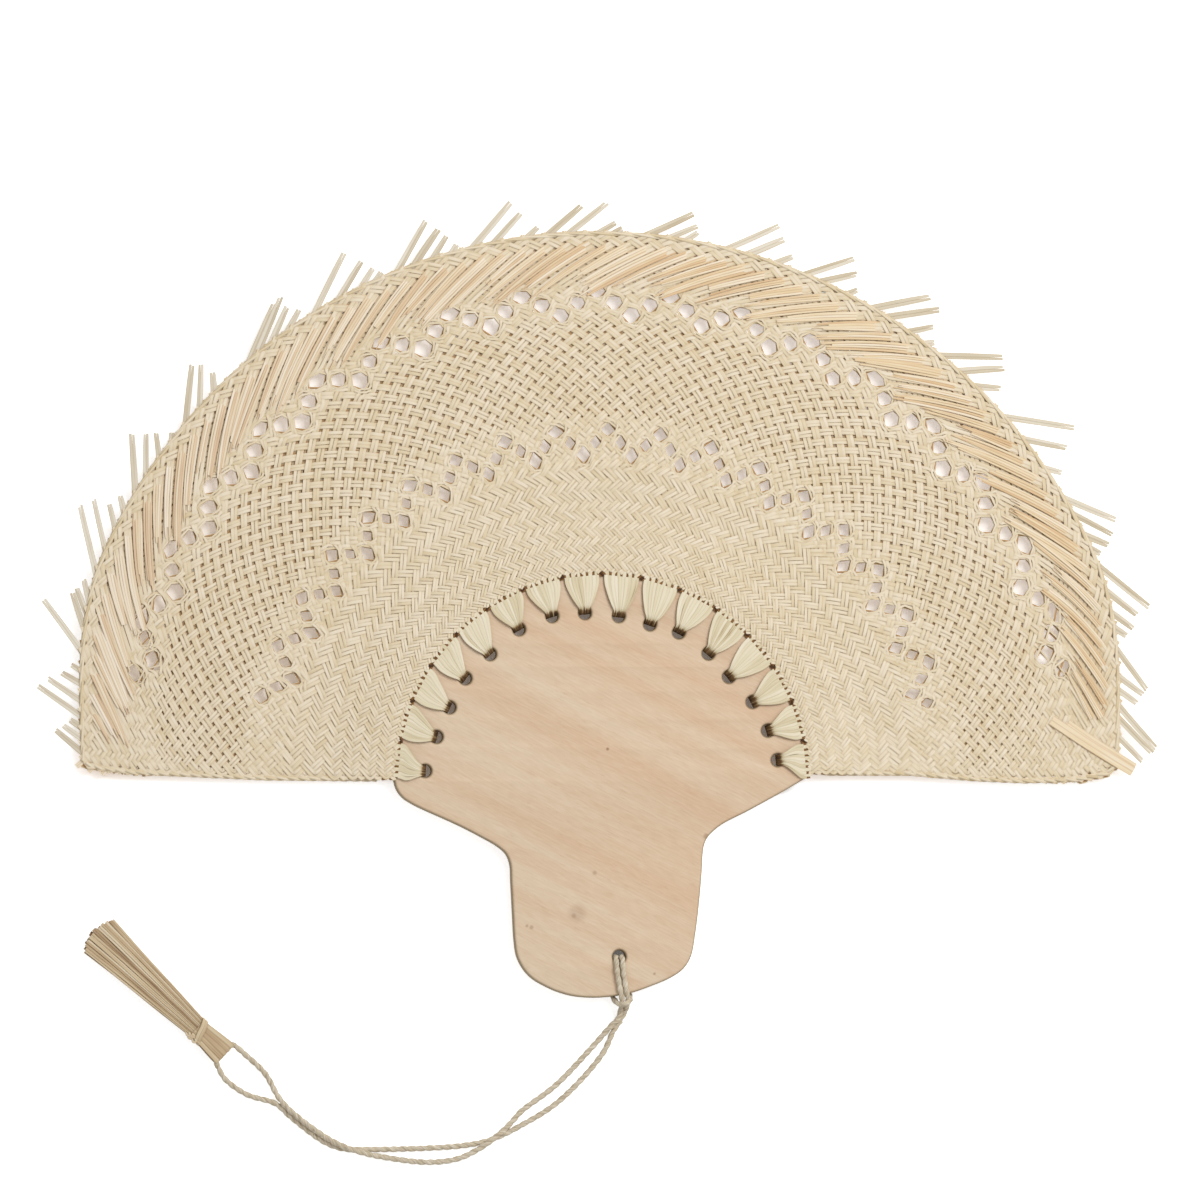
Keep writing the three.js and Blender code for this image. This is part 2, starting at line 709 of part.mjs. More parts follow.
function tasselBinding() {
  const from = TASSEL_HEAD_L - BINDING_L / 3;
  const to = from + BINDING_L;
  const wide = TASSEL_NECK_W + 2 * GAP;
  const thick = TASSEL_NECK_T + 2 * GAP;
  const wrap = ovalLoft([
    oval(from, wide + BINDING_WALL, thick + BINDING_WALL),
    oval(from + BINDING_L / 3, wide + 2 * BINDING_WALL, thick + 2 * BINDING_WALL),
    oval(to - BINDING_L / 3, wide + 2 * BINDING_WALL, thick + 2 * BINDING_WALL),
    oval(to, wide + BINDING_WALL, thick + BINDING_WALL),
  ]);
  const core = ovalLoft([oval(from - OVERRUN, wide, thick), oval(to + OVERRUN, wide, thick)]);
  return geometryOf(solid(wrap).subtract(solid(core)));
}

// Skirt: two layers of flat strips that part towards their cut ends
function tasselSkirt() {
  const from = TASSEL_HEAD_L + GAP;
  let skirt = solid(
    ovalLoft([
      oval(from, TASSEL_NECK_W, TASSEL_NECK_T),
      oval(from + SKIRT_ROOT_L, TASSEL_NECK_W * 0.94, TASSEL_NECK_T * 0.9),
    ]),
  );
  const rootZ = (TASSEL_NECK_T - SKIRT_STRIP_T) / 2;
  const endZ = (SKIRT_END_T - SKIRT_STRIP_T) / 2;
  for (const layer of [-1, 1]) {
    const strips = layer > 0 ? SKIRT_STRIPS : SKIRT_STRIPS - 1;
    for (let k = 0; k < strips; k++) {
      const share = (k + 0.5) / strips - 0.5;
      const length = SKIRT_L * (1 - 0.16 * share * share - (k % 2) * 0.015);
      const root = (TASSEL_NECK_W - SKIRT_STRIP_T) * share;
      const end = SKIRT_END_W * share;
      const width = SKIRT_END_W / strips - GAP;
      const strip = (x, y, z, w) =>
        [
          [-1, -1],
          [1, -1],
          [1, 1],
          [-1, 1],
        ].map(([a, b]) => new THREE.Vector3(x, y + (a * w) / 2, z + (b * SKIRT_STRIP_T) / 2));
      const sections = [
        strip(from + SKIRT_ROOT_L / 2, root * 0.8, layer * rootZ * 0.8, width * 0.6),
        strip(from + length, end, layer * endZ, width),
      ];
      const outline = sections[0].map((p) => new THREE.Vector2(p.y, p.z));
      skirt = skirt.add(solid(loft(sections, outline)));
    }
  }
  return geometryOf(skirt);
}

add("handle_board", handleBoard(), beech);
add("woven_blade", wovenBlade(), straw);
for (let i = 0; i < LACE_COUNT; i++) {
  add(`strand_bundle_${String(i + 1).padStart(2, "0")}`, strandBundle(i), straw);
}
add("seam_twine_front", seamTwine(FRONT_Z + BUNDLE_T / 2), straw);
add("seam_twine_back", seamTwine(-GAP - BUNDLE_T / 2), straw);
for (let g = 0; g < SPIKE_LEANS_DEG.length; g++) {
  add(`rim_tuft_${String(g + 1).padStart(2, "0")}`, rimTuft(g), strawGold);
}
add("hitch_cord", hitchCord(), twist);
add("strap_upper_leg", strapPiece(0, BIGHT_FROM_SHARE, 36), twist);
add("strap_bight", strapPiece(BIGHT_FROM_SHARE, BIGHT_TO_SHARE, 10), twist);
add("strap_lower_leg", strapPiece(BIGHT_TO_SHARE, 1, 36), twist);
add("tassel_head", tasselHead(), tasselStraw, tassel);
add("tassel_binding", tasselBinding(), tasselStraw, tassel);
add("tassel_skirt", tasselSkirt(), tasselStraw, tassel);

export default fan;
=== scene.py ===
# A woven palm leaf fan lying on a pale table: a two-layer blade of split leaf laced to a beech board, with a
# twisted cord strap and a straw tassel. Metres, X to the right, Y from the grip to the rim, Z up.
import math

import bmesh
import bpy
import numpy as np
from mathutils import Matrix, Vector


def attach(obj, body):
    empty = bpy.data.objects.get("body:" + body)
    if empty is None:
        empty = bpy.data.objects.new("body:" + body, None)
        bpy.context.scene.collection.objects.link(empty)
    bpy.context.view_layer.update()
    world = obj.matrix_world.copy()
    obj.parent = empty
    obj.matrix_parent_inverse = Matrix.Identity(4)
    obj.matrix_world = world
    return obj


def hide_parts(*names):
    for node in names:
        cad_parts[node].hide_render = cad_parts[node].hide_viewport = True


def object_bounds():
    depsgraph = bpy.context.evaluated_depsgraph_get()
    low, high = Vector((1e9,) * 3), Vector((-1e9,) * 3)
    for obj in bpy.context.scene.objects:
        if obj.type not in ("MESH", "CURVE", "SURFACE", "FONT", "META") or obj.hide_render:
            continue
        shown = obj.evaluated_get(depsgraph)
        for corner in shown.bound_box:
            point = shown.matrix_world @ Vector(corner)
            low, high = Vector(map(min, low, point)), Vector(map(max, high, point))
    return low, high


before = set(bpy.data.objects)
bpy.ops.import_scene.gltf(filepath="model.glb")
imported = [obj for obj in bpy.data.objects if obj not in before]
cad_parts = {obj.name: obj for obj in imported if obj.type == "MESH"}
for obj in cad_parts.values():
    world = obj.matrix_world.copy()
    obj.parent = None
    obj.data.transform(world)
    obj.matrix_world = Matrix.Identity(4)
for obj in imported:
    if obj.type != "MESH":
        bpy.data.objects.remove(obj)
CAD_LOW, CAD_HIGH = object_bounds()

MM = 0.001
UP = np.array([0.0, 0.0, 1.0])
chance = np.random.default_rng(11)

# The fan's main sizes, as in its solids
BOARD_T = 5.0 * MM
BOARD_MID = BOARD_T / 2
HEAD_R = 82.4 * MM
RIM_R = 218.8 * MM
RIM_END_R = 208.0 * MM


def linear(colour):
    """An sRGB hex colour as linear red, green, blue and alpha."""
    shares = [int(colour[i : i + 2], 16) / 255 for i in (1, 3, 5)]
    return [c / 12.92 if c <= 0.04045 else ((c + 0.055) / 1.055) ** 2.4 for c in shares] + [1.0]


def add(tree, kind, inputs=None, stops=(), **settings):
    """Adds a node with its settings; an input is another node's socket or a plain value. Stops are a ramp's
    places and sRGB hex colours."""
    node = tree.nodes.new(kind)
    for name, value in settings.items():
        setattr(node, name, value)
    while stops and len(node.color_ramp.elements) < len(stops):
        node.color_ramp.elements.new(0.5)
    for k, (place, colour) in enumerate(stops):
        node.color_ramp.elements[k].position = place
        node.color_ramp.elements[k].color = linear(colour)
    for name, value in (inputs or {}).items():
        if isinstance(value, bpy.types.NodeSocket):
            tree.links.new(value, node.inputs[name])
        else:
            node.inputs[name].default_value = value
    return node


# Camera: a long lens a little to the left of straight above, as in the photograph
VIEW_WIDTH = 0.4765
VIEW_AIM = Vector((-0.00025, 0.0721, 0.0025))
VIEW_DISTANCE = 10.0
VIEW_LEAN_X = 0.14
VIEW_LEAN_Y = 0.045
VIEW_ROLL = -0.0042
SENSOR = 36.0


def make_camera():
    lens = bpy.data.cameras.new("long_lens")
    lens.sensor_width = SENSOR
    lens.lens = SENSOR * VIEW_DISTANCE / VIEW_WIDTH
    lens.clip_end = VIEW_DISTANCE * 4
    camera = bpy.data.objects.new("camera", lens)
    bpy.context.scene.collection.objects.link(camera)
    back = Vector((-VIEW_LEAN_X, -VIEW_LEAN_Y, 1)).normalized()
    right = Vector((0, 1, 0)).cross(back).normalized()
    turn = Matrix((right, back.cross(right), back)).transposed()
    turn = turn @ Matrix.Rotation(VIEW_ROLL, 3, "Z")
    camera.matrix_world = Matrix.Translation(VIEW_AIM + back * VIEW_DISTANCE) @ turn.to_4x4()
    bpy.context.scene.camera = camera


make_camera()


# Lines and levels
def smooth(value, low, high):
    """Rises smoothly from 0 at the low limit to 1 at the high one."""
    share = np.clip((value - low) / (high - low), 0, 1)
    return share * share * (3 - 2 * share)


def within(value, rise_from, rise_to, fall_from, fall_to):
    """1 between the two middle limits and 0 outside the outer two."""
    return smooth(value, rise_from, rise_to) * (1 - smooth(value, fall_from, fall_to))


def polar(radius, angle):
    return np.stack([radius * np.cos(angle), radius * np.sin(angle)], axis=-1)


def unit(vectors):
    return vectors / np.maximum(np.linalg.norm(vectors, axis=-1, keepdims=True), 1e-12)


def tangents(points):
    return unit(np.gradient(points, axis=0))


def left_of(heading):
    return np.stack([-heading[:, 1], heading[:, 0]], axis=1)


def square_to(heading, side):
    """The directions nearest to the given sides that are square to a line's heading."""
    return unit(side - heading * np.einsum("ij,ij->i", side, heading)[:, None])


def raised(plan, height):
    """A plan's points at one height, or at a height each."""
    return np.column_stack([plan, np.broadcast_to(height, len(plan))])


def distances(points):
    """How far along a line each of its points lies."""
    return np.concatenate([[0.0], np.cumsum(np.linalg.norm(np.diff(points, axis=0), axis=1))])


def respaced(points, spacing):
    length = distances(points)
    places = np.linspace(0, length[-1], max(3, int(round(length[-1] / spacing)) + 1))
    return np.stack([np.interp(places, length, points[:, i]) for i in range(3)], axis=1)


# points between each two of a route's, before they are spaced evenly
CURVE_STEPS = 40


def centripetal(route, spacing):
    """An even run of points on the smooth centripetal curve through the route."""
    p = np.array(route, float)
    p = np.concatenate([[2 * p[0] - p[1]], p, [2 * p[-1] - p[-2]]])
    found = []
    for k in range(1, len(p) - 2):
        near = p[k - 1 : k + 3]
        t = np.concatenate([[0], np.cumsum(np.linalg.norm(np.diff(near, axis=0), axis=1) ** 0.5)])
        s = np.linspace(t[1], t[2], CURVE_STEPS, endpoint=False)[:, None]
        a = [
            ((t[i + 1] - s) * near[i] + (s - t[i]) * near[i + 1]) / (t[i + 1] - t[i])
            for i in range(3)
        ]
        b = [((t[i + 2] - s) * a[i] + (s - t[i]) * a[i + 1]) / (t[i + 2] - t[i]) for i in range(2)]
        found.append(((t[2] - s) * b[0] + (s - t[1]) * b[1]) / (t[2] - t[1]))
    dense = np.concatenate([*found, p[-2:-1]])
    return respaced(dense, spacing)


# Strips: one Geometry Nodes tree lays a thin strip or a round strand along each rail of a mesh. A rail's
# points say how far the strip reaches to its side and how far it rises.
def strip_tree():
    tree = bpy.data.node_groups.new("strips_along_rails", "GeometryNodeTree")
    for name, way, kind in (
        ("Rails", "INPUT", "NodeSocketGeometry"),
        ("Sides", "INPUT", "NodeSocketInt"),
        ("Finish", "INPUT", "NodeSocketMaterial"),
        ("Strips", "OUTPUT", "NodeSocketGeometry"),
    ):
        tree.interface.new_socket(name, in_out=way, socket_type=kind)
    given = add(tree, "NodeGroupInput").outputs
    place = add(tree, "GeometryNodeInputPosition").outputs["Position"]
    rails = add(tree, "GeometryNodeMeshToCurve", {"Mesh": given["Rails"]}).outputs["Curve"]
    ring = add(
        tree, "GeometryNodeCurvePrimitiveCircle", {"Resolution": given["Sides"], "Radius": 1.0}
    ).outputs["Curve"]
    kept = []
    for curve, name in ((rails, "centre"), (ring, "corner")):
        capture = add(tree, "GeometryNodeCaptureAttribute", {"Geometry": curve})
        capture.capture_items.new("VECTOR", name)
        tree.links.new(place, capture.inputs[name])
        kept.append(capture.outputs)
    line, profile = kept
    swept = add(
        tree,
        "GeometryNodeCurveToMesh",
        {"Curve": line["Geometry"], "Profile Curve": profile["Geometry"], "Fill Caps": True},
    )
    corner = add(tree, "ShaderNodeSeparateXYZ", {"Vector": profile["corner"]}).outputs
    offsets = []
    for name, axis in (("side", "Y"), ("rise", "X")):
        reach = add(tree, "GeometryNodeInputNamedAttribute", {"Name": name}, data_type="FLOAT_VECTOR")
        offset = add(
            tree,
            "ShaderNodeVectorMath",
            {0: reach.outputs["Attribute"], "Scale": corner[axis]},
            operation="SCALE",
        )
        offsets.append(offset.outputs["Vector"])
    across = add(tree, "ShaderNodeVectorMath", {0: offsets[0], 1: offsets[1]}, operation="ADD")
    whole = add(
        tree,
        "ShaderNodeVectorMath",
        {0: line["centre"], 1: across.outputs["Vector"]},
        operation="ADD",
    )
    shaped = add(
        tree,
        "GeometryNodeSetPosition",
        {"Geometry": swept.outputs["Mesh"], "Position": whole.outputs["Vector"]},
    )
    crest = add(
        tree,
        "GeometryNodeStoreNamedAttribute",
        {"Geometry": shaped.outputs["Geometry"], "Name": "crest", "Value": corner["X"]},
        data_type="FLOAT",
        domain="POINT",
    )
    along = add(tree, "GeometryNodeInputNamedAttribute", {"Name": "along"}, data_type="FLOAT")
    flat = add(tree, "ShaderNodeCombineXYZ", {"X": along.outputs["Attribute"], "Y": corner["Y"]})
    mapped = add(
        tree,
        "GeometryNodeStoreNamedAttribute",
        {"Geometry": crest.outputs["Geometry"], "Name": "UVMap", "Value": flat.outputs["Vector"]},
        data_type="FLOAT2",
        domain="CORNER",
    )
    real = add(tree, "GeometryNodeRealizeInstances", {"Geometry": mapped.outputs["Geometry"]})
    done = add(
        tree,
        "GeometryNodeSetMaterial",
        {"Geometry": real.outputs["Geometry"], "Material": given["Finish"]},
    )
    add(tree, "NodeGroupOutput", {"Strips": done.outputs["Geometry"]})
    return tree


STRIPS = strip_tree()


def rail(points, half_width, half_thick, tone, up=UP, side=None):
    """A rail with the half width and half thickness, in metres, of the strip that follows it."""
    points = np.asarray(points, float)
    heading = tangents(points)
    if side is None:
        side = unit(np.cross(np.broadcast_to(up, points.shape), heading))
    rise = unit(np.cross(heading, side))
    half_width = np.broadcast_to(half_width, len(points))
    half_thick = np.broadcast_to(half_thick, len(points))
    return {
        "points": points,
        "side": side * half_width[:, None],
        "rise": rise * half_thick[:, None],
        "tone": np.broadcast_to(tone, len(points)),
    }


# how far the pattern of one strip is moved along from another's, in metres for each unit of tone
PATTERN_SHIFT = 3


def rails_mesh(name, rails):
    mesh = bpy.data.meshes.new(name)
    edges, along, start = [], [], 0
    for r in rails:
        count = len(r["points"])
        steps = np.arange(start, start + count - 1)
        edges.append(np.stack([steps, steps + 1], axis=1))
        along.append(distances(r["points"]) + r["tone"].max() * PATTERN_SHIFT)
        start += count
    points = np.concatenate([r["points"] for r in rails])
    mesh.from_pydata(points.tolist(), np.concatenate(edges).tolist(), [])
    for key in ("side", "rise"):
        values = np.concatenate([r[key] for r in rails]).astype(np.float32)
        mesh.attributes.new(key, "FLOAT_VECTOR", "POINT").data.foreach_set("vector", values.ravel())
    for key, values in (("along", along), ("tone", [r["tone"] for r in rails])):
        values = np.concatenate(values).astype(np.float32)
        mesh.attributes.new(key, "FLOAT", "POINT").data.foreach_set("value", values)
    return mesh


def outwards(mesh):
    """Turns a closed mesh's faces outwards if they all point in."""
    mesh.calc_loop_triangles()
    corners = np.zeros(len(mesh.loop_triangles) * 3, np.int32)
    mesh.loop_triangles.foreach_get("vertices", corners)
    places = np.zeros(len(mesh.vertices) * 3, np.float32)
    mesh.vertices.foreach_get("co", places)
    a, b, c = places.reshape(-1, 3).astype(float)[corners.reshape(-1, 3)].transpose(1, 0, 2)
    if np.einsum("ij,ij->", a, np.cross(b, c)) < 0:
        mesh.flip_normals()


def strip_mesh(name, rails, finish, sides=5, sharp_deg=40):
    source = bpy.data.objects.new(name + "_rails", rails_mesh(name + "_rails", rails))
    bpy.context.scene.collection.objects.link(source)
    modifier = source.modifiers.new("strips", "NODES")
    modifier.node_group = STRIPS
    sockets = {item.name: item.identifier for item in STRIPS.interface.items_tree}
    modifier[sockets["Sides"]] = sides
    modifier[sockets["Finish"]] = finish
    graph = bpy.context.evaluated_depsgraph_get()
    mesh = bpy.data.meshes.new_from_object(
        source.evaluated_get(graph), preserve_all_data_layers=True, depsgraph=graph
    )
    mesh.name = name
    bpy.data.objects.remove(source)
    for key in ("side", "rise", "along"):
        if key in mesh.attributes:
            mesh.attributes.remove(mesh.attributes[key])
    outwards(mesh)
    mesh.shade_smooth()
    mesh.set_sharp_from_angle(angle=math.radians(sharp_deg))
    return mesh


def piece(name, mesh, body, stands_for):
    obj = bpy.data.objects.new(name, mesh)
    bpy.context.scene.collection.objects.link(obj)
    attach(obj, body)
    if stands_for:
        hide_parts(*stands_for)
    return obj


def fan_strips(name, rails, finish, stands_for=(), sides=5, sharp_deg=40):
    """A piece of the fan's own body, made of strips."""
    return piece(name, strip_mesh(name, rails, finish, sides, sharp_deg), "fan", stands_for)


# Finishes
LEAF_ROUGH = 0.62
# fibres 20 mm long and 0.3 mm wide on a strip 1.4 mm wide, and cloudy patches 15 mm long
LEAF_FIBRE_L = 20
LEAF_FIBRES_ACROSS = 4.8
PATCH_L = 15.152
PATCHES_ACROSS = 0.4
PATCH_SHADE = 0.5
# round a strip: where the painted shade of its underside sets in, and the painted shade of its split edges
UNDERSIDE_SHADE_FROM, UNDERSIDE_SHADE_TO = -0.35, -0.75
EDGE_SHADE_FROM, EDGE_SHADE_TO = 0.5, 0.95
# painted shade: the greying for the duller light on the fan's left grows from the first place to the second,
# in metres to the right
LEFT_SHADE_FROM, LEFT_SHADE_TO = 0.04, -0.14
# twine fibres 4.5 mm long, six across each ply
TWINE_FIBRE_L = 4.545
TWINE_FIBRES_ACROSS = 6
TWINE_COLOURS = [(0.25, "#A8967A"), (0.5, "#D2C4AB"), (0.75, "#EEE6D6")]
# the board's grain falls to the right, in degrees
GRAIN_FALL = 27
# lengths and widths, in millimetres, of the grain's streaks, the growth rings' bands and the flecks
GRAIN_L, GRAIN_W = 6.25, 0.7143
RING_L, RING_W = 200, 8.333
FLECK_L, FLECK_W = 3.846, 0.5882
GRAIN_COLOURS = [(0.33, "#D8BA99"), (0.5, "#E0C5A6"), (0.67, "#E8D0B3")]
RING_COLOURS = [(0.15, "#E5D2B8"), (0.5, "#DEC2A4"), (0.9, "#D8B290")]
RING_CONTRAST = 1.7
# the board is pinker toward its upper right: how much a metre, and the level at the origin
PINK_WAY = (2.4, 1.7, 0)
PINK_LEVEL = -0.38
FLECK_FROM, FLECK_TO, FLECK_DARK = 0.62, 0.78, 0.22
# the cut colour is partly the sawn edge's own and partly painted shade
FLECK_COLOUR, CUT_AND_SHADE_COLOUR, MARK_COLOUR = "#B48E68", "#94805F", "#8A6140"
# small knots and dents in the board's face: place, radius in millimetres and how dark
BOARD_MARKS = [
    (-10.2, -52.4, 5.0, 0.22), (-11.6, -53.4, 1.4, 0.3), (2.2, 12.8, 0.9, 0.7),
    (-28.6, -58.0, 1.2, 0.4), (-3.2, -36.4, 1.3, 0.35), (41.6, -21.8, 1.6, 0.5),
    (-30.4, -57.4, 0.9, 0.4), (20.6, -76.4, 0.8, 0.5),
]


def per_metre(*sizes):
    """How many of a pattern's cells, of these sizes in millimetres, fit a metre."""
    return tuple(1 / (size * MM) for size in sizes)


def shader(name, rough, sheen=0.0, specular=0.3):
    material = bpy.data.materials.new(name)
    material.use_nodes = True
    tree = material.node_tree
    surface = tree.nodes["Principled BSDF"]
    surface.inputs["Roughness"].default_value = rough
    surface.inputs["Sheen Weight"].default_value = sheen
    surface.inputs["Specular IOR Level"].default_value = specular
    return material, tree, surface


def leaf_strip(name, colours, inner, streak=0.5, left_shade=0.0, edge=0.0):
    """Split palm leaf, dried and sun-bleached: fine fibres run along each strip and no two strips are quite
    one colour. Painted shade: each strip's underside and split edges turn to the darker inner colour, for the
    shade under and between the strips, and the fan's left side is painted greyer, for the duller light there."""
    material, tree, surface = shader(name, LEAF_ROUGH, specular=0.25)
    strip = add(tree, "ShaderNodeTexCoord").outputs["UV"]
    tone, crest = (
        add(tree, "ShaderNodeAttribute", attribute_name=key).outputs["Fac"] for key in ("tone", "crest")
    )
    noises = []
    for length, count, detail in (
        (LEAF_FIBRE_L, LEAF_FIBRES_ACROSS, 3.0),
        (PATCH_L, PATCHES_ACROSS, 1.0),
    ):
        cells = (*per_metre(length), count / 2, 1)
        mapped = add(tree, "ShaderNodeMapping", {"Vector": strip, "Scale": cells}).outputs["Vector"]
        noise = add(tree, "ShaderNodeTexNoise", {"Vector": mapped, "Scale": 1.0, "Detail": detail})
        noises.append(noise.outputs["Fac"])
    fibre, patch = noises
    # the tone, lighter or darker by the fibres and the patches
    level = tone
    for noise, strength in ((patch, PATCH_SHADE), (fibre, streak)):
        level = add(
            tree, "ShaderNodeMath", {0: noise, 1: strength, 2: level}, operation="MULTIPLY_ADD"
        ).outputs["Value"]
    level = add(
        tree, "ShaderNodeMath", {0: level, 1: (streak + PATCH_SHADE) / 2}, operation="SUBTRACT"
    ).outputs["Value"]
    outer = add(tree, "ShaderNodeValToRGB", {"Fac": level}, colours).outputs["Color"]
    # painted shade: the fan's left side is greyed, for the duller light there
    if left_shade:
        place = add(tree, "ShaderNodeTexCoord").outputs["Object"]
        right = add(tree, "ShaderNodeSeparateXYZ", {"Vector": place}).outputs["X"]
        limits = {"From Min": LEFT_SHADE_FROM, "From Max": LEFT_SHADE_TO, "To Min": 1.0, "To Max": 1 - left_shade}
        left_greying = add(tree, "ShaderNodeMapRange", {"Value": right, **limits}).outputs["Result"]
        outer = add(tree, "ShaderNodeHueSaturation", {"Saturation": left_greying, "Color": outer}).outputs["Color"]
    across = add(tree, "ShaderNodeSeparateXYZ", {"Vector": strip}).outputs["Y"]
    aside = add(tree, "ShaderNodeMath", {0: across}, operation="ABSOLUTE").outputs["Value"]
    # painted shade: the underside and the split edges are mixed toward the darker inner colour
    under, split = (
        add(
            tree, "ShaderNodeMapRange", {"Value": value, "From Min": low, "From Max": high, "To Max": most}
        ).outputs["Result"]
        for value, low, high, most in ((crest, UNDERSIDE_SHADE_FROM, UNDERSIDE_SHADE_TO, 1.0), (aside, EDGE_SHADE_FROM, EDGE_SHADE_TO, edge))
    )
    brown = add(tree, "ShaderNodeMath", {0: under, 1: split}, operation="MAXIMUM").outputs["Value"]
    colour = add(
        tree, "ShaderNodeMix", {"Factor": brown, 6: outer, 7: linear(inner)}, data_type="RGBA"
    ).outputs[2]
    tree.links.new(colour, surface.inputs["Base Color"])
    bump = add(tree, "ShaderNodeBump", {"Height": fibre, "Strength": 0.35, "Distance": 0.05 * MM})
    tree.links.new(bump.outputs["Normal"], surface.inputs["Normal"])
    return material


def beech_wood():
    """Beech, sawn to a thin board and sanded, with a thin matt oil: pinkish tan, fine straight grain that
    falls to the right, short dark flecks, a few knots and dents, and darker cut edges, partly the sawn wood's
    own colour and partly painted shade."""
    material, tree, surface = shader("sanded_beech", 0.58)
    place = add(tree, "ShaderNodeTexCoord").outputs["Object"]
    turned = add(
        tree, "ShaderNodeMapping", {"Vector": place, "Rotation": (0, 0, math.radians(GRAIN_FALL))}
    ).outputs["Vector"]
    noises = []
    for length, width, detail in ((GRAIN_L, GRAIN_W, 5.0), (RING_L, RING_W, 1.6), (FLECK_L, FLECK_W, 2.0)):
        cells = per_metre(length, width, width)
        mapped = add(tree, "ShaderNodeMapping", {"Vector": turned, "Scale": cells}).outputs["Vector"]
        noise = add(tree, "ShaderNodeTexNoise", {"Vector": mapped, "Scale": 1.0, "Detail": detail})
        noises.append(noise.outputs["Fac"])
    grain, ring, fleck = noises
    slope = add(
        tree, "ShaderNodeVectorMath", {0: place, 1: PINK_WAY}, operation="DOT_PRODUCT"
    ).outputs["Value"]
    shifted = add(tree, "ShaderNodeMath", {0: slope, 1: PINK_LEVEL}, operation="ADD").outputs["Value"]
    streaked = add(
        tree, "ShaderNodeMath", {0: ring, 1: RING_CONTRAST, 2: shifted}, operation="MULTIPLY_ADD"
    ).outputs["Value"]
    base, warm = (
        add(tree, "ShaderNodeValToRGB", {"Fac": value}, stops).outputs["Color"]
        for value, stops in ((grain, GRAIN_COLOURS), (streaked, RING_COLOURS))
    )
    colour = add(
        tree, "ShaderNodeMix", {"Factor": 0.5, 6: base, 7: warm}, data_type="RGBA"
    ).outputs[2]
    limits = {"From Min": FLECK_FROM, "From Max": FLECK_TO, "To Max": FLECK_DARK}
    dark = add(tree, "ShaderNodeMapRange", {"Value": fleck, **limits}).outputs["Result"]
    overlays = [(dark, FLECK_COLOUR)]
    for x, y, size, depth in BOARD_MARKS:
        away = add(
            tree, "ShaderNodeVectorMath", {0: place, 1: (x * MM, y * MM, BOARD_T)}, operation="DISTANCE"
        ).outputs["Value"]
        mark = add(
            tree,
            "ShaderNodeMapRange",
            {"Value": away, "From Min": size * MM, "From Max": size * 0.25 * MM, "To Max": depth},
            interpolation_type="SMOOTHSTEP",
        ).outputs["Result"]
        overlays.append((mark, MARK_COLOUR))
    cut = add(tree, "ShaderNodeAttribute", attribute_name="cut").outputs["Fac"]
    for share, over in [*overlays, (cut, CUT_AND_SHADE_COLOUR)]:
        colour = add(
            tree, "ShaderNodeMix", {"Factor": share, 6: colour, 7: linear(over)}, data_type="RGBA"
        ).outputs[2]
    tree.links.new(colour, surface.inputs["Base Color"])
    bump = add(tree, "ShaderNodeBump", {"Height": grain, "Strength": 0.25, "Distance": 0.1 * MM})
    tree.links.new(bump.outputs["Normal"], surface.inputs["Normal"])
    return material


def twine_fibre():
    """Hemp twine, two plies twisted: matt and hairy, greyish tan with paler fibres along each ply."""
    material, tree, surface = shader("hemp_twine", 0.85, sheen=0.15, specular=0.15)
    strand_place = add(tree, "ShaderNodeTexCoord").outputs["UV"]
    cells = (*per_metre(TWINE_FIBRE_L), TWINE_FIBRES_ACROSS / 2, 1)
    mapped = add(tree, "ShaderNodeMapping", {"Vector": strand_place, "Scale": cells}).outputs["Vector"]
    fibre = add(
        tree, "ShaderNodeTexNoise", {"Vector": mapped, "Scale": 1.0, "Detail": 3.0}
    ).outputs["Fac"]
    colour = add(tree, "ShaderNodeValToRGB", {"Fac": fibre}, TWINE_COLOURS).outputs["Color"]
    tree.links.new(colour, surface.inputs["Base Color"])
    bump = add(tree, "ShaderNodeBump", {"Height": fibre, "Strength": 0.5, "Distance": 0.1 * MM})
    tree.links.new(bump.outputs["Normal"], surface.inputs["Normal"])
    return material


# each leaf's inner colour is the painted shade of its undersides and split edges
BLEACHED = leaf_strip(
    "bleached_palm_leaf",
    [(0.0, "#C6AE82"), (0.3, "#DDC9A2"), (0.6, "#EADABC"), (1.0, "#F5EAD6")],
    "#C39A6A",
    streak=0.75,
    edge=0.25,
)
GOLDEN = leaf_strip(
    "golden_palm_leaf",
    [(0.0, "#CCA272"), (0.3, "#E2C297"), (0.6, "#EFDAB4"), (1.0, "#F9EDD8")],
    "#BF8854",
    streak=0.7,
    left_shade=0.16,
    edge=0.45,
)
FRINGE_LEAF = leaf_strip(
    "fringe_palm_leaf",
    [(0.0, "#BFAD8E"), (0.35, "#D6C8AD"), (0.65, "#E5DAC4"), (1.0, "#F2EADB")],
    "#B59C74",
    streak=0.7,
    left_shade=0.1,
    edge=0.35,
)
# its darkest stops give the painted shade where the bundles go down their holes
LACING = leaf_strip(
    "lacing_palm_leaf",
    [(0.0, "#3A2413"), (0.18, "#8F6D46"), (0.32, "#D6C7A3"), (0.55, "#E9DDBF"), (1.0, "#F8F0DE")],
    "#B39C70",
    edge=0.25,
)
# painted shade: the seam core's dark colour stands for the shadow in the slot at the seam
SEAM_SHADE = leaf_strip(
    "dark_seam_core_shade",
    [(0.0, "#3A2210"), (0.5, "#7C5429"), (1.0, "#B08450")],
    "#5A3A1C",
)
TASSEL = leaf_strip(
    "tassel_straw",
    [(0.0, "#A08262"), (0.3, "#C6AC88"), (0.6, "#D9C4A0"), (1.0, "#EDDEC2")],
    "#8F6E4A",
    streak=0.8,
    edge=0.45,
)
BEECH = beech_wood()
TWINE = twine_fibre()


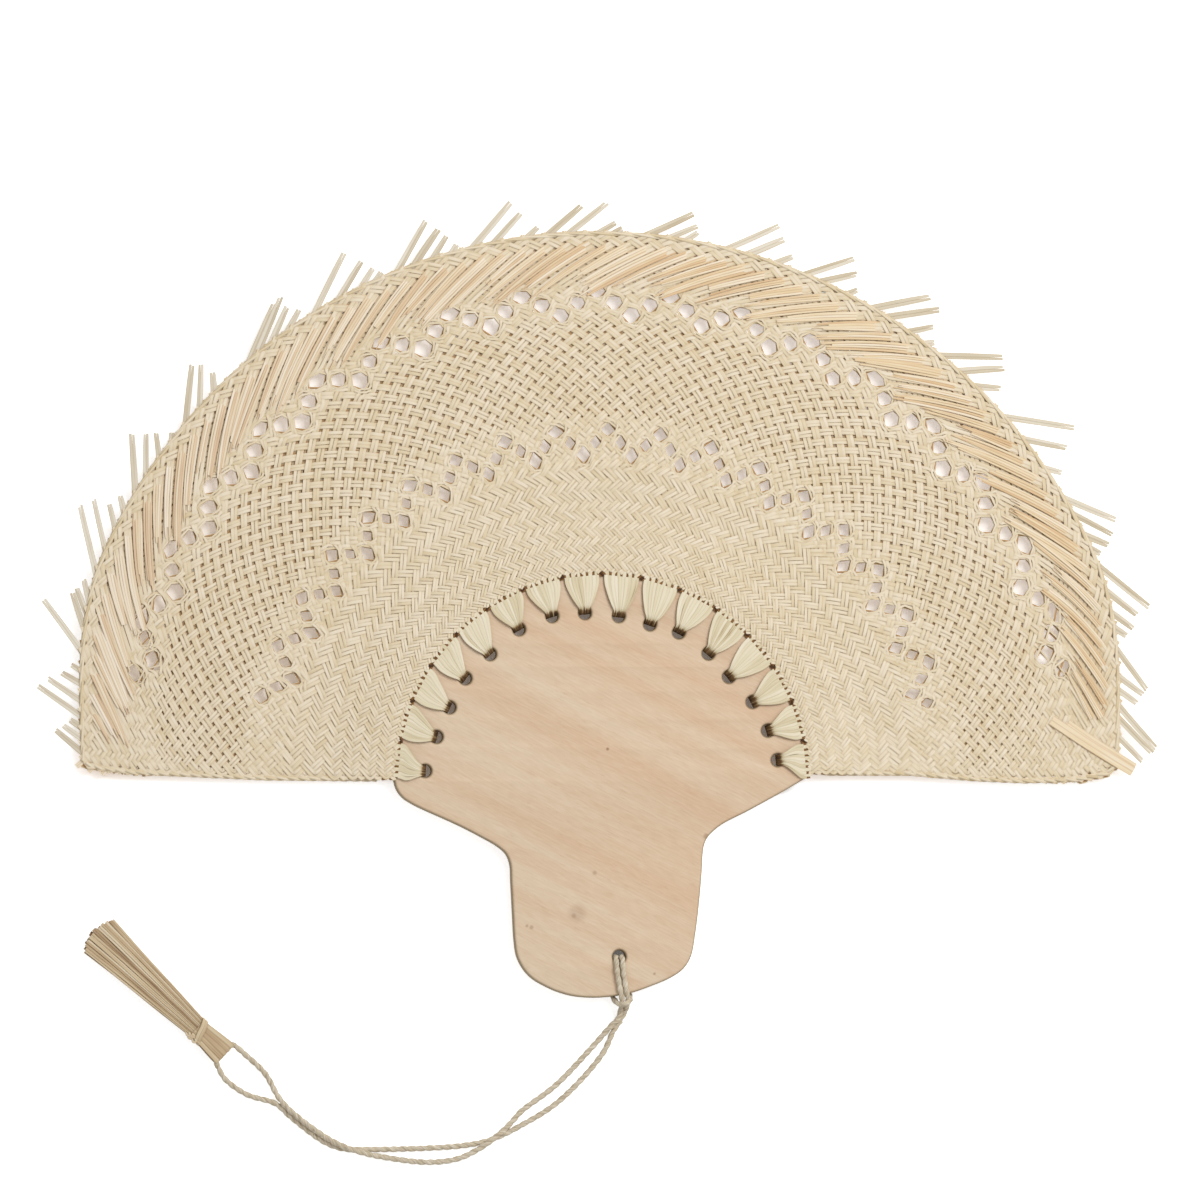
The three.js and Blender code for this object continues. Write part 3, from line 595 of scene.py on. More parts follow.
# Cords: the strap's loop and the hitch round the grip, in two-ply twine. Routes are in metres; the heights of
# a cord on the table, over another cord, in the tassel's head and on the board's front are named.
CORD_D = 2.4 * MM
LYING = -1.15 * MM
OVER = 1.15 * MM
TASSEL_AT = 0.6 * MM
STRAP_ROUTE = [
    (0.0067, -0.0942, 0.0007), (0.0036, -0.0972, 0.0004), (-0.0042, -0.1060, LYING),
    (-0.0182, -0.1204, LYING), (-0.0322, -0.1309, LYING), (-0.0354, -0.1344, -0.0007),
    (-0.0387, -0.1377, 0.00035), (-0.0438, -0.1419, OVER), (-0.0489, -0.1455, 0.0003),
    (-0.0576, -0.1496, LYING), (-0.0700, -0.1510, LYING), (-0.0896, -0.1486, -0.0006),
    (-0.0962, -0.1472, 0.0008), (-0.1029, -0.1450, OVER), (-0.1100, -0.1414, 0.0006),
    (-0.1232, -0.1318, 0.0006), (-0.1289, -0.1258, 0.0001), (-0.1345, -0.1158, LYING),
    (-0.1424, -0.1083, -0.0007), (-0.1454, -0.1058, 0.0002), (-0.1476, -0.1044, TASSEL_AT),
    (-0.1506, -0.1055, TASSEL_AT), (-0.1533, -0.1084, TASSEL_AT), (-0.1542, -0.1110, TASSEL_AT),
    (-0.1530, -0.1141, 0.0002), (-0.1505, -0.1180, -0.0007), (-0.1420, -0.1240, LYING),
    (-0.1302, -0.1278, LYING), (-0.1243, -0.1330, LYING), (-0.1108, -0.1430, LYING),
    (-0.1031, -0.1457, LYING), (-0.0960, -0.1459, LYING), (-0.0700, -0.1454, LYING),
    (-0.0541, -0.1442, LYING), (-0.0438, -0.1419, LYING), (-0.0322, -0.1364, LYING),
    (-0.0170, -0.1268, LYING), (0.0006, -0.1079, LYING), (0.0052, -0.0984, -0.0010),
    (0.0078, -0.0949, -0.0010),
]
HITCH_FRONT = 6.25 * MM
HITCH_ROUTE = [
    (0.0062, -0.0946, 0.0007), (0.0072, -0.0926, 0.0008), (0.0076, -0.0905, 0.0012),
    (0.0077, -0.0885, 0.0028), (0.0075, -0.0867, 0.0052), (0.0071, -0.0845, HITCH_FRONT),
    (0.0062, -0.0800, HITCH_FRONT), (0.0054, -0.0745, HITCH_FRONT), (0.0052, -0.0712, 0.0058),
    (0.0053, -0.0700, 0.0044), (0.0053, -0.0699, 0.0006), (0.0052, -0.0709, -0.0009),
    (0.0050, -0.0742, -0.0013), (0.0046, -0.0820, -0.0013), (0.0046, -0.0852, -0.0002),
    (0.0050, -0.0868, 0.0020), (0.0064, -0.0884, 0.0050), (0.0086, -0.0885, 0.0066),
    (0.0104, -0.0874, 0.0050), (0.0113, -0.0861, 0.0020), (0.0111, -0.0841, -0.0004),
    (0.0104, -0.0808, -0.0013), (0.0086, -0.0742, -0.0013), (0.0080, -0.0709, -0.0009),
    (0.0078, -0.0699, 0.0006), (0.0077, -0.0700, 0.0044), (0.0077, -0.0712, 0.0058),
    (0.0079, -0.0745, HITCH_FRONT), (0.0086, -0.0800, HITCH_FRONT), (0.0094, -0.0845, HITCH_FRONT),
    (0.0099, -0.0866, 0.0052), (0.0100, -0.0885, 0.0028), (0.0096, -0.0907, 0.0004),
    (0.0087, -0.0928, -0.0006), (0.0074, -0.0950, -0.0010),
]
CORD_STEP = 0.9 * MM
CORD_PLIES = 2
PLY_SHARE = 0.72
PLY_TONES = (0.5, 0.7)
TWIST_PITCH = 7.2 * MM
CORD_SIDES = 8
CORD_SHARP_DEG = 80


def carried_frames(points):
    """Two directions square to the line and to each other, carried along it without twist."""
    heading = tangents(points)
    first = np.zeros_like(points)
    start = np.cross(heading[0], UP)
    first[0] = unit(start if np.linalg.norm(start) > 0.1 else np.cross(heading[0], [1.0, 0, 0]))
    for k in range(1, len(points)):
        moved = first[k - 1] - heading[k] * np.dot(first[k - 1], heading[k])
        first[k] = unit(moved)
    return first, np.cross(heading, first)


def twisted_plies(line):
    """The rails of the plies of the cord that follows a line."""
    first, second = carried_frames(line)
    length = distances(line)
    ply = CORD_D / 2 * PLY_SHARE
    reach = CORD_D / 2 - ply
    rails = []
    for k in range(CORD_PLIES):
        turn = (2 * math.pi * (length / TWIST_PITCH + k / CORD_PLIES))[:, None]
        out = first * np.cos(turn) + second * np.sin(turn)
        points = line + out * reach
        side = unit(np.cross(tangents(points), out))
        rails.append(rail(points, ply, ply, PLY_TONES[k], side=side))
    return rails


def make_cord(name, route, body, stands_for):
    line = centripetal(route, CORD_STEP)
    mesh = strip_mesh(name, twisted_plies(line), TWINE, CORD_SIDES, CORD_SHARP_DEG)
    return piece(name, mesh, body, stands_for), line


strap_cord, strap_line = make_cord(
    "strap_cord", STRAP_ROUTE, "strap", ("strap_upper_leg", "strap_bight", "strap_lower_leg")
)
make_cord("hitch_cord_plies", HITCH_ROUTE, "fan", ("hitch_cord",))


# Weave: every strand crosses the fan on a slant, one lattice row at a time, and turns back at the selvages.
# Rows count outwards from the seam; the list gives the radius of some rows, in millimetres.
ELEMENTS = 83
STEP = math.pi / ELEMENTS
UPRIGHT = math.pi / 2
ROW_RADII = [
    (-4, 76.2), (5, 89.7), (17, 110.6), (26, 129.8), (30, 140.0), (34, 150.5), (40, 166.4),
    (45.5, 180.0), (48, 185.6), (50, 190.6), (52, 194.8), (58, 207.8), (63, 219.4), (68, 231.5),
]
# the radii are averaged over so many rows to each side
ROW_BLUR = 1.6
RIM_TAPER = math.radians(25)
# the rows over which the blade takes on the rim's lower ends
FLATTENED_ROWS = (25, 63)
FIRST_ROW = 0.7
LAST_ROW = 62.4
LAYER_GAP = 0.48 * MM
LIFT = 0.26 * MM
CROSSING_SHADE = 0.1
WEAVE_TONES = (0.42, 0.72)
STRIP_HALF_T = 0.11 * MM
# the blade's two layers part at the seam, to both sides of the board's edge
SEAM_LIFT = 2.75 * MM
SEAM_IN = 84.2 * MM
SEAM_OUT = 114.0 * MM

# Bands of the weave: the rows over which each one sets in, and those over which it gives way
TWILL_END = (24.5, 25.5)
OPEN_WEAVE = (30, 33.5, 46, 48.5)
EYELET_BAND = (46, 48.5, 58.5, 60)
FLOATS = (52.6, 53.5, 59.3, 60.1)
RIM_BAND = (58.5, 60, 61.5, 62.3)
# the back layer's gaps lie behind the front layer's crossings, but for the eyelets' rows
BACK_APART = (31, 34.5, 44, 47.5)
BACK_APART_AGAIN = (54, 57)
# a strand's share of its room, and how much less it fills in a band
FRONT_FULL, BACK_FULL = 0.97, 0.99
OPEN_LESS, BACK_OPEN_LESS, RIM_LESS, EYELET_LESS = 0.22, 0.15, 0.18, 0.09
# the plain weave is a little more open on the left, from the first angle to the second
LEFT_MORE_OPEN = 0.18
LEFT_ANGLES = (math.radians(81), math.radians(153))
LEAST_ROOM = 0.3

# Each strand is two strips side by side, of not quite one width, that stray by shares of it
STRIP_SHARE = 0.49
STRIP_WIDTHS = (0.93, 1.05)
STRIP_STEP = 0.03 * MM
QUICK_STRAY, QUICK_TURN = 0.05, 0.9
SLOW_STRAY, SLOW_TURN = 0.04, 0.37

# Selvages: how far each edge lies above the board's corners at some radii, in millimetres
SELVAGE_TURN = 0.006
SELVAGE_HALF_W = 1.6 * MM
SELVAGE_FADE = 14 * MM
SELVAGE_RIGHT = [
    (82, 2.2), (124, 2.2), (150, 0.0), (170, -0.8), (190, -0.2), (198.6, 1.2), (203.4, 2.4),
    (206.6, 5.8), (209, 8.4),
]
SELVAGE_LEFT = [(82, -0.4), (135, 0.1), (188, 2.4), (200, 4.0), (205, 5.4), (209, 7.7)]
# the rim's long floats and tucks stop short of the selvages
FLOATS_FROM = math.radians(8)
FLOATS_TO = math.radians(176)
FLOATS_FADE = math.radians(2)

# Eyelets: four to a period in a zigzag, at each element's pitch, inside and outside the plain weave. Each of
# the four has its own radius, half width, half height, in millimetres, and slant in degrees.
INNER_ZIGZAG = [(140.0, 2.9, 2.6, 0), (134.8, 2.0, 2.7, 20), (129.8, 2.2, 3.2, 0), (134.8, 2.0, 2.7, -20)]
OUTER_ZIGZAG = [(185.6, 3.0, 3.3, 0), (190.6, 2.7, 3.0, 25), (194.8, 3.6, 2.5, 0), (190.6, 2.7, 3.0, -25)]
INNER_START, OUTER_START = math.radians(1.4), math.radians(3.9)
INNER_SPREAD, OUTER_SPREAD = 0.991, 1.011
ZIGZAG_REACH = math.radians(77.5)
EYELET_TURN = 9
EYELET_SIZES = (0.88, 1.1)
# in an eyelet's half sizes: how far it pulls strips aside, how far points are looked at, and what is nearest
EYELET_PULL = 1.9
EYELET_SEARCH = 1.5 * EYELET_PULL
EYELET_NEAREST = 0.4
EYELET_SQUEEZE = 0.45
# six-sided with soft corners
EYELET_CORNERS = 0.92
SLANT_SIDE = (0.866, 0.5)

# The lattice is twisted and stretched a little, over some rows, to bring its gaps to the eyelets
INNER_TWIST, OUTER_TWIST = math.radians(0.30), math.radians(0.69)
INNER_ROWS, OUTER_ROWS = (5, 26), (32, 46)
TWIST_FADE = 12


def row_radius(row):
    rows, radii = np.array(ROW_RADII).T
    spread = np.linspace(-ROW_BLUR, ROW_BLUR, 9)
    return np.exp(np.interp(np.add.outer(row, spread), rows, np.log(radii * MM)).mean(axis=-1))


def rim_radius(angle):
    up = np.minimum(angle, math.pi - angle)
    return RIM_END_R + (RIM_R - RIM_END_R) * smooth(up, 0, RIM_TAPER)


def eyelets():
    """Each eyelet's centre, the directions of its width and height, and its half sizes."""
    found = []
    for zigzag, start, spread in (
        (INNER_ZIGZAG, INNER_START, INNER_SPREAD),
        (OUTER_ZIGZAG, OUTER_START, OUTER_SPREAD),
    ):
        for k in range(-ELEMENTS, ELEMENTS + 1):
            lean = (start + k * STEP) * spread
            if abs(lean) > ZIGZAG_REACH:
                continue
            radius, half_w, half_h, slant = zigzag[k % len(zigzag)]
            centre = polar(radius * MM, UPRIGHT - lean)
            turned = UPRIGHT - lean + math.radians(slant + chance.uniform(-EYELET_TURN, EYELET_TURN))
            grown_w, grown_h = chance.uniform(*EYELET_SIZES, 2) * MM
            over, out = polar(1.0, turned - UPRIGHT), polar(1.0, turned)
            found.append((centre, over, out, half_w * grown_w, half_h * grown_h))
    return found


EYELETS = eyelets()


def selvage(radius, left):
    """How far a selvage's edge lies above the board's corners."""
    right_y = np.interp(radius / MM, *np.array(SELVAGE_RIGHT).T)
    left_y = np.interp(radius / MM, *np.array(SELVAGE_LEFT).T)
    return np.where(left, left_y, right_y) * MM


def shifted_lean(row, lean):
    inner, outer = smooth(row, *INNER_ROWS), smooth(row, *OUTER_ROWS)
    twist = INNER_TWIST * inner + (OUTER_TWIST - INNER_TWIST) * outer
    stretch = (INNER_SPREAD - 1) * inner + (OUTER_SPREAD - INNER_SPREAD) * outer
    hold = 1 - np.abs(lean / UPRIGHT) ** TWIST_FADE
    return lean + (twist + stretch * lean) * np.clip(hold, 0, 1)


def on_lattice(rows, angle):
    """The radius and angle at which a strand's rows come to lie."""
    turned = UPRIGHT - shifted_lean(rows, UPRIGHT - angle)
    flattened = 1 + (rim_radius(turned) / RIM_R - 1) * smooth(rows, *FLATTENED_ROWS)
    return row_radius(rows) * flattened, turned


def room_for(plan, radius, least=0.0):
    """The width that is free for a strand along its way, less where it runs more slantwise."""
    lean = np.abs(np.einsum("ij,ij->i", tangents(plan), unit(plan)))
    return radius * STEP * np.clip(lean, least, 1)


def opened(plan):
    """Moves points of the blade aside round the eyelets; also gives how close each is to one."""
    moved = plan.copy()
    closeness = np.zeros(len(plan))
    for centre, over, out, half_w, half_h in EYELETS:
        away = plan - centre
        near = np.abs(away).max(axis=1) < max(half_w, half_h) * EYELET_SEARCH
        if not near.any():
            continue
        local = np.stack([away[near] @ over / half_w, away[near] @ out / half_h], axis=1)
        x, y = np.abs(local).T
        sixfold = np.maximum(y, x * SLANT_SIDE[0] + y * SLANT_SIDE[1])
        distance = EYELET_CORNERS * sixfold + (1 - EYELET_CORNERS) * np.hypot(x, y)
        distance = np.maximum(distance, 1e-6)
        pushed = np.where(distance < EYELET_PULL, 1 + distance * (1 - 1 / EYELET_PULL), distance)
        local *= (pushed / distance - 1)[:, None]
        moved[near] += local[:, :1] * half_w * over + local[:, 1:] * half_h * out
        closeness[near] = np.maximum(closeness[near], smooth(-distance, -EYELET_PULL, -EYELET_NEAREST))
    return moved, closeness


def fullness(row, layer, angle):
    """How much of its room a strand fills: tight twill, then open plain weave, then close bands again."""
    open_weave = within(row, *OPEN_WEAVE)
    if layer < 0:
        return BACK_FULL - BACK_OPEN_LESS * open_weave
    open_weave = open_weave * (1 + LEFT_MORE_OPEN * smooth(angle, *LEFT_ANGLES))
    bands = RIM_LESS * within(row, *RIM_BAND) + EYELET_LESS * within(row, *EYELET_BAND)
    return FRONT_FULL - OPEN_LESS * open_weave - bands


def over_under(row, layer, angle):
    """+1 where the strands that run clockwise outwards lie on top, -1 where they lie below."""
    twill = np.clip(math.sqrt(2) * np.cos(math.pi * (row - 0.5) / 2), -1, 1)
    plain = np.cos(math.pi * row)
    change = smooth(row, *TWILL_END)
    wave = twill * (1 - change) + plain * change
    if layer > 0:
        inside = within(angle, FLOATS_FROM - FLOATS_FADE, FLOATS_FROM, FLOATS_TO, FLOATS_TO + FLOATS_FADE)
        floats = within(row, *FLOATS) * inside
        wave = wave * (1 - floats) + floats
    return wave


def strand(first, sign, rows, layer):
    """The rails of one element's two strips, from the seam to the rim."""
    bare = first + sign * rows * STEP / 2
    if layer < 0:
        apart = within(rows, *BACK_APART) + smooth(rows, *BACK_APART_AGAIN)
        bare = bare + apart * STEP / 2
    low = np.sqrt(bare**2 + SELVAGE_TURN**2)
    high = math.pi - np.sqrt((math.pi - bare) ** 2 + SELVAGE_TURN**2)
    left = bare > UPRIGHT
    heading = sign * np.where(left, (math.pi - bare) / (math.pi - high), bare / low)
    radius, angle = on_lattice(rows, np.where(left, high, low))
    plan = polar(radius, angle)
    plan[:, 1] += (SELVAGE_HALF_W + selvage(radius, left)) * np.exp(-plan[:, 1] / SELVAGE_FADE)
    room = room_for(plan, radius, LEAST_ROOM) * fullness(rows, layer, angle)
    across = left_of(tangents(plan))
    seam = SEAM_LIFT * (1 - smooth(radius, SEAM_IN, SEAM_OUT)) * layer
    wave = -heading * over_under(rows, layer, angle) * LIFT
    rails = []
    sway = chance.uniform(0, 2 * math.pi, 2)
    for place in (-1, 1):
        width = STRIP_SHARE * room * chance.uniform(*STRIP_WIDTHS)
        quick = QUICK_STRAY * np.sin(rows * QUICK_TURN + sway[0] + place)
        slow = SLOW_STRAY * np.sin(rows * SLOW_TURN + sway[1])
        aside = width * (place * 0.5 + quick + slow)
        line, close = opened(plan + across * aside[:, None])
        width = width * (1 - EYELET_SQUEEZE * close)
        height = BOARD_MID + layer * LAYER_GAP + seam + wave + place * STRIP_STEP
        tone = chance.uniform(*WEAVE_TONES) + CROSSING_SHADE * wave * layer / LIFT
        rails.append(rail(raised(line, height), width / 2, STRIP_HALF_T, tone, up=UP * layer))
    return rails


def make_weave():
    # each layer's side, its points to a row and the number of pieces it is cut into
    for layer, side_name, per_row, groups in ((1, "front", 3, 4), (-1, "back", 2, 3)):
        rows = np.arange(FIRST_ROW, LAST_ROW, 1 / per_row)
        rails = []
        for i in range(ELEMENTS):
            for sign in (-1, 1):
                rails += strand((i + 0.5) * STEP, sign, rows, layer)
        share = math.ceil(len(rails) / groups)
        for g in range(groups):
            group = rails[g * share : (g + 1) * share]
            stands_for = ("woven_blade",) if g == 0 and layer > 0 else ()
            fan_strips(f"weave_{side_name}_{g + 1}", group, BLEACHED, stands_for)


make_weave()


# Rim: strips folded over the edge, tucked back through the last rows and cut off above the outer eyelets, the
# rope-like fold itself, and the fringe. Each fringe strip: where it leaves the rim in degrees from the right,
# its length in millimetres and its lean in degrees clockwise from straight out.
FRINGE = [
    (176.7, 13.0, 37), (175.3, 8.4, 31), (174.1, 4.6, 27), (172.9, 20.0, 28), (171.2, 15.0, 25),
    (169.5, 8.2, 19), (168.1, 4.0, 20), (166.0, 24.6, 40), (163.5, 14.0, 55), (161.9, 9.6, 50),
    (160.4, 7.0, 56), (157.6, 26.6, 54), (155.0, 19.6, 52), (152.6, 9.4, 49), (150.6, 6.0, 47),
    (148.2, 22.0, 55), (146.2, 16.0, 56), (143.8, 8.8, 47), (141.5, 2.0, 48), (139.2, 22.0, 55),
    (137.1, 16.0, 50), (134.9, 7.2, 40), (129.6, 22.4, 63), (128.6, 22.8, 62), (126.7, 13.8, 61),
    (124.5, 7.8, 63), (121.2, 24.8, 57), (118.3, 16.4, 59), (115.6, 7.2, 57), (114, 2.8, 57),
    (111.6, 22.4, 51), (109.6, 15.6, 53), (107.6, 9.6, 50), (105.5, 2.8, 45), (103.2, 22.4, 54),
    (100.9, 14.8, 53), (97.4, 4.8, 54), (95.2, 16.8, 55), (93, 18.4, 55), (89.8, 6.8, 59),
    (88.1, 2.4, 57), (84.7, 19.6, 61), (82.3, 10.8, 60), (80.6, 4.8, 46), (76.2, 21.8, 53),
    (73.9, 14.6, 51), (70.9, 6.4, 50), (67.6, 20.0, 50), (65.6, 13.2, 53), (62.7, 3.6, 41),
    (59.6, 22.6, 48), (57.8, 19.8, 49), (55.1, 9.0, 45), (52.9, 2.6, 45), (50.8, 23.6, 52),
    (48.4, 17.2, 44), (46, 9.0, 51), (41.6, 27.2, 50), (38.6, 16.8, 50), (34.8, 6.0, 50),
    (30.9, 21.2, 54), (29.0, 16.6, 56), (26.6, 9.4, 50), (25.0, 3.2, 53), (22.9, 24.4, 62),
    (20.3, 14.6, 59), (18.0, 9.6, 54), (16.4, 5.0, 50), (14.1, 19.2, 68), (11.3, 11.4, 48),
    (9.9, 8.3, 45), (8.1, 21.6, 57), (6.8, 18.4, 53), (4.8, 13.0, 50), (2.3, 6.6, 27),
]
FRINGE_W = 2.9 * MM
FRINGE_Z = 2.6 * MM
FRINGE_RISE = 0.4 * MM
FRINGE_ROOT = 4.5 * MM
FRINGE_BEND = 0.03
FRINGE_WIDTHS, FRINGE_LENGTHS, FRINGE_TONES = (0.85, 1.15), (0.98, 1.02), (0.3, 0.8)
FRINGE_APART = 0.42
FRINGE_STEP = 0.07 * MM
FRINGE_TAPER = 0.25
END_HALF_T = STRIP_HALF_T * 1.3
TUCK_ROWS = (52.3, 61.0)
RIM_ROW = 63
TUCK_Z = BOARD_MID + LAYER_GAP + LIFT + 2.0 * STRIP_HALF_T
TUCK_HALF_T = STRIP_HALF_T * 1.6
# tucks come in groups; each one's start in rows before or after the first, and its share of the full width
TUCK_STARTS = [0.0, -1.2, 0.6, 1.6, -0.6, 1.0, -1.0, 0.3, 2.4]
TUCK_WIDTH_SHARES = [1.1, 0.95, 1.05, 0.8, 1.1, 0.9, 1.0, 0.7, 1.1, 0.95, 0.85]
TUCK_STRAY = 1.2 * MM
TUCK_WIDTHS, TUCK_TONES = (0.85, 1.12), (0.3, 0.9)
TUCK_APART = 0.47
# how ragged the starts are, in rows, how high a group piles up, in millimetres, and each strip's step up
TUCK_RAGGED = 0.35
TUCK_PILE = 0.25
TUCK_STEP = 0.09 * MM
# the rows over which a tuck goes under the rim, is cut to a slant, and draws together towards its cut ends
TUCK_UNDER = (59.2, 60.6)
TUCK_SLANT, TUCK_SLANT_LEFT = 1.6, 0.35
TUCK_DRAWN, TUCK_DRAWN_LEFT = 5, 0.55
TUCK_SKEWED = 16
ROPE_ENDS = (math.radians(2.4), math.radians(177.8))
ROPE_INSET = 0.9 * MM
BRAID_START = 90 * MM
BRAID_END = RIM_END_R - 2 * MM
BRAID_LIFT = 1.15 * MM
# the rope and the braids: plies, pitch, reach to the side, rise, half width and half thickness of a ply
ROPE = (4, 34 * MM, 0.5 * MM, 0.8 * MM, 0.62 * MM, 0.24 * MM)
BRAID = (3, 13 * MM, 0.5 * MM, 0.75 * MM, 0.7 * MM, 0.22 * MM)
TWIST_TONES = (0.35, 0.7)
# strips that lie loose at the blade's two lower corners: three points each and the width, in millimetres,
# and the height in metres
LOOSE_STRIPS = [
    ([(180.8, 24.6), (196.0, 14.6), (213.5, 4.0)], 4.4, TUCK_Z + 0.35 * MM),
    ([(187.5, 23.4), (199.0, 15.6), (214.5, 6.0)], 3.0, TUCK_Z + 0.1 * MM),
    ([(-199.5, 14.6), (-205.4, 9.4), (-209.8, 5.6)], 2.4, BOARD_MID),
    ([(-193.5, 12.5), (-200.6, 8.0), (-205.0, 3.6)], 2.2, BOARD_MID),
    ([(-187.0, 11.0), (-195.4, 6.6), (-199.6, 2.4)], 2.4, BOARD_MID),
]
LOOSE_APART, LOOSE_TONES = 0.21, (0.5, 0.75)
RIM_TUFTS = [f"rim_tuft_{g:02d}" for g in range(1, 22)]


def make_fringe():
    rails = []
    for degrees, length, lean in FRINGE:
        angle = math.radians(degrees)
        heading = angle - math.radians(lean)
        start = polar(rim_radius(angle), angle) - FRINGE_ROOT * polar(1.0, heading)
        reach = np.linspace(0, length * MM + FRINGE_ROOT, 9)
        share = reach / reach[-1]
        turn = heading + chance.uniform(-FRINGE_BEND, FRINGE_BEND) * share**2
        steps = np.gradient(reach)[:, None] * polar(1.0, turn)
        way = np.cumsum(steps, axis=0) - steps[0]
        for place in (-1, 1):
            width = FRINGE_W / 2 * chance.uniform(*FRINGE_WIDTHS)
            off = polar(1.0, heading + UPRIGHT) * place * width * FRINGE_APART
            height = FRINGE_Z + place * FRINGE_STEP + FRINGE_RISE * share**2
            line = start + way * chance.uniform(*FRINGE_LENGTHS) + off
            taper = 1 - FRINGE_TAPER * share**4
            tone = chance.uniform(*FRINGE_TONES)
            rails.append(rail(raised(line, height), width / 2 * taper, END_HALF_T, tone))
    return rails


def loose_strips():
    rails = []
    for corners, width, height in LOOSE_STRIPS:
        line = centripetal([(x * MM, y * MM, height) for x, y in corners], 2 * MM)
        for place in (-1, 1):
            off = place * LOOSE_APART * width * MM * np.cross(UP, tangents(line))
            rails.append(rail(line + off, width * MM / 4, END_HALF_T, chance.uniform(*LOOSE_TONES)))
    return rails


def make_tucks():
    rails = []
    first, last = TUCK_ROWS
    for n in range(1, ELEMENTS):
        late = TUCK_STARTS[n % len(TUCK_STARTS)]
        rows = np.arange(first + late + chance.uniform(-TUCK_RAGGED, TUCK_RAGGED), last, 0.5)
        bare = n * STEP + (RIM_ROW - rows) * STEP / 2
        keep = (bare < FLOATS_TO) & (bare > FLOATS_FROM)
        rows, bare = rows[keep], bare[keep]
        if len(rows) < 4:
            continue
        radius, angle = on_lattice(rows, bare)
        plan = polar(radius, angle)
        across = left_of(tangents(plan))
        under = smooth(rows, *TUCK_UNDER)
        narrow = TUCK_WIDTH_SHARES[n % len(TUCK_WIDTH_SHARES)]
        room = room_for(plan, radius) * narrow
        stray = chance.normal(0, TUCK_STRAY)
        pile = chance.uniform(0, TUCK_PILE) * MM
        slant = TUCK_SLANT_LEFT + (1 - TUCK_SLANT_LEFT) * smooth(rows - rows[0], 0, TUCK_SLANT)
        drawn = TUCK_DRAWN_LEFT + (1 - TUCK_DRAWN_LEFT) * smooth(rows - rows[0], 0, TUCK_DRAWN)
        strips = 4 if narrow > 0.9 else 3
        for k in range(strips):
            place = (k + 0.5) / strips * 2 - 1
            width = room / strips * chance.uniform(*TUCK_WIDTHS) * slant
            skew = (stray + chance.normal(0, TUCK_STRAY / 3)) * smooth(last - rows, 0, TUCK_SKEWED)
            line = plan + across * (place * TUCK_APART * room * drawn + skew)[:, None]
            height = TUCK_Z + pile * (1 - under) - under * 3 * LIFT + (k % 3) * TUCK_STEP
            start = int(chance.integers(0, 4))
            points = raised(line, height)[start:]
            rails.append(rail(points, width[start:] / 2, TUCK_HALF_T, chance.uniform(*TUCK_TONES)))
    return rails


def flat_twist(line, plies, pitch, reach, rise, half_width, half_thick):
    """The rails of a flat twisted edge of leaf strips."""
    length = distances(line)
    across = np.cross(UP, tangents(line))
    rails = []
    for k in range(plies):
        turn = (2 * math.pi * (length / pitch + k / plies))[:, None]
        points = line + across * reach * np.cos(turn) + UP * rise * np.sin(turn)
        rails.append(rail(points, half_width, half_thick, chance.uniform(*TWIST_TONES)))
    return rails


def make_rope():
    angles = np.linspace(*ROPE_ENDS, 700)
    plan = polar(rim_radius(angles) - ROPE_INSET, angles)
    return flat_twist(respaced(raised(plan, BOARD_MID), 1.0 * MM), *ROPE)


def make_braids():
    rails = []
    for left in (False, True):
        radius = np.linspace(BRAID_START, BRAID_END, 160)
        plan = np.column_stack([-radius if left else radius, selvage(radius, left) + BRAID_LIFT])
        rails += flat_twist(respaced(raised(plan, BOARD_MID), 0.9 * MM), *BRAID)
    return rails


fan_strips("rim_fringe", make_fringe(), FRINGE_LEAF, RIM_TUFTS)
fan_strips("tucked_strips", make_tucks() + loose_strips(), GOLDEN, RIM_TUFTS)
fan_strips("rim_rope", make_rope(), BLEACHED, sides=6, sharp_deg=80)
fan_strips("selvage_braids", make_braids(), BLEACHED, sides=6, sharp_deg=80)


# Lacing: sixteen bundles of split leaf that run from the seam through the board's holes and back behind it
LACES = 16
LACE_PITCH = math.pi / LACES
LACE_R = 68.2 * MM
HOLE_R = 2.5 * MM
HOLE_RADIUS_SHARES = [
    1.04, 1.02, 1.0, 0.965, 0.975, 0.98, 0.958, 0.968, 0.984, 1.004, 1.008, 0.987, 0.999, 0.991,
    1.004, 1.04,
]
HOLE_SHIFT_SHARES = [
    0.11, 0, -0.05, -0.02, -0.07, 0.04, -0.04, -0.04, 0, -0.01, 0.05, 0.19, 0.23, 0.22, 0.18, 0.21,
]
LACE_STRIPS = 10
LACE_NECK_W = 4.5 * MM
LACE_SPACE = 2.5 * MM
LACE_HALF_T = 0.16 * MM
LACE_CROWN = 0.12 * MM
LACE_OVERLAP = 1.2
LACE_STRAY, LACE_WIDTHS, LACE_TONES = (0.05, 0.2), (0.92, 1.08), (0.36, 0.72)
# painted shade: a bundle is darkened where it goes down its hole, up to these distances, raggedly
HOLE_SHADE_FROM, HOLE_SHADE_TO, HOLE_SHADE_RAGGED, HOLE_SHADE_TONES = 0.9 * MM, 2.6 * MM, (-0.4, 0.8), (0.0, 0.16)
# a bundle spreads by this power of its way to the seam
LACE_SPREAD = 1.9
LACE_OUT_Z = 3.35 * MM
# a full spread counts as this length in the smooth curve through a bundle's stations
SPREAD_L = 5 * MM


def hole_place(i):
    return LACE_R * HOLE_RADIUS_SHARES[i], (i + 0.5 + HOLE_SHIFT_SHARES[i]) * LACE_PITCH


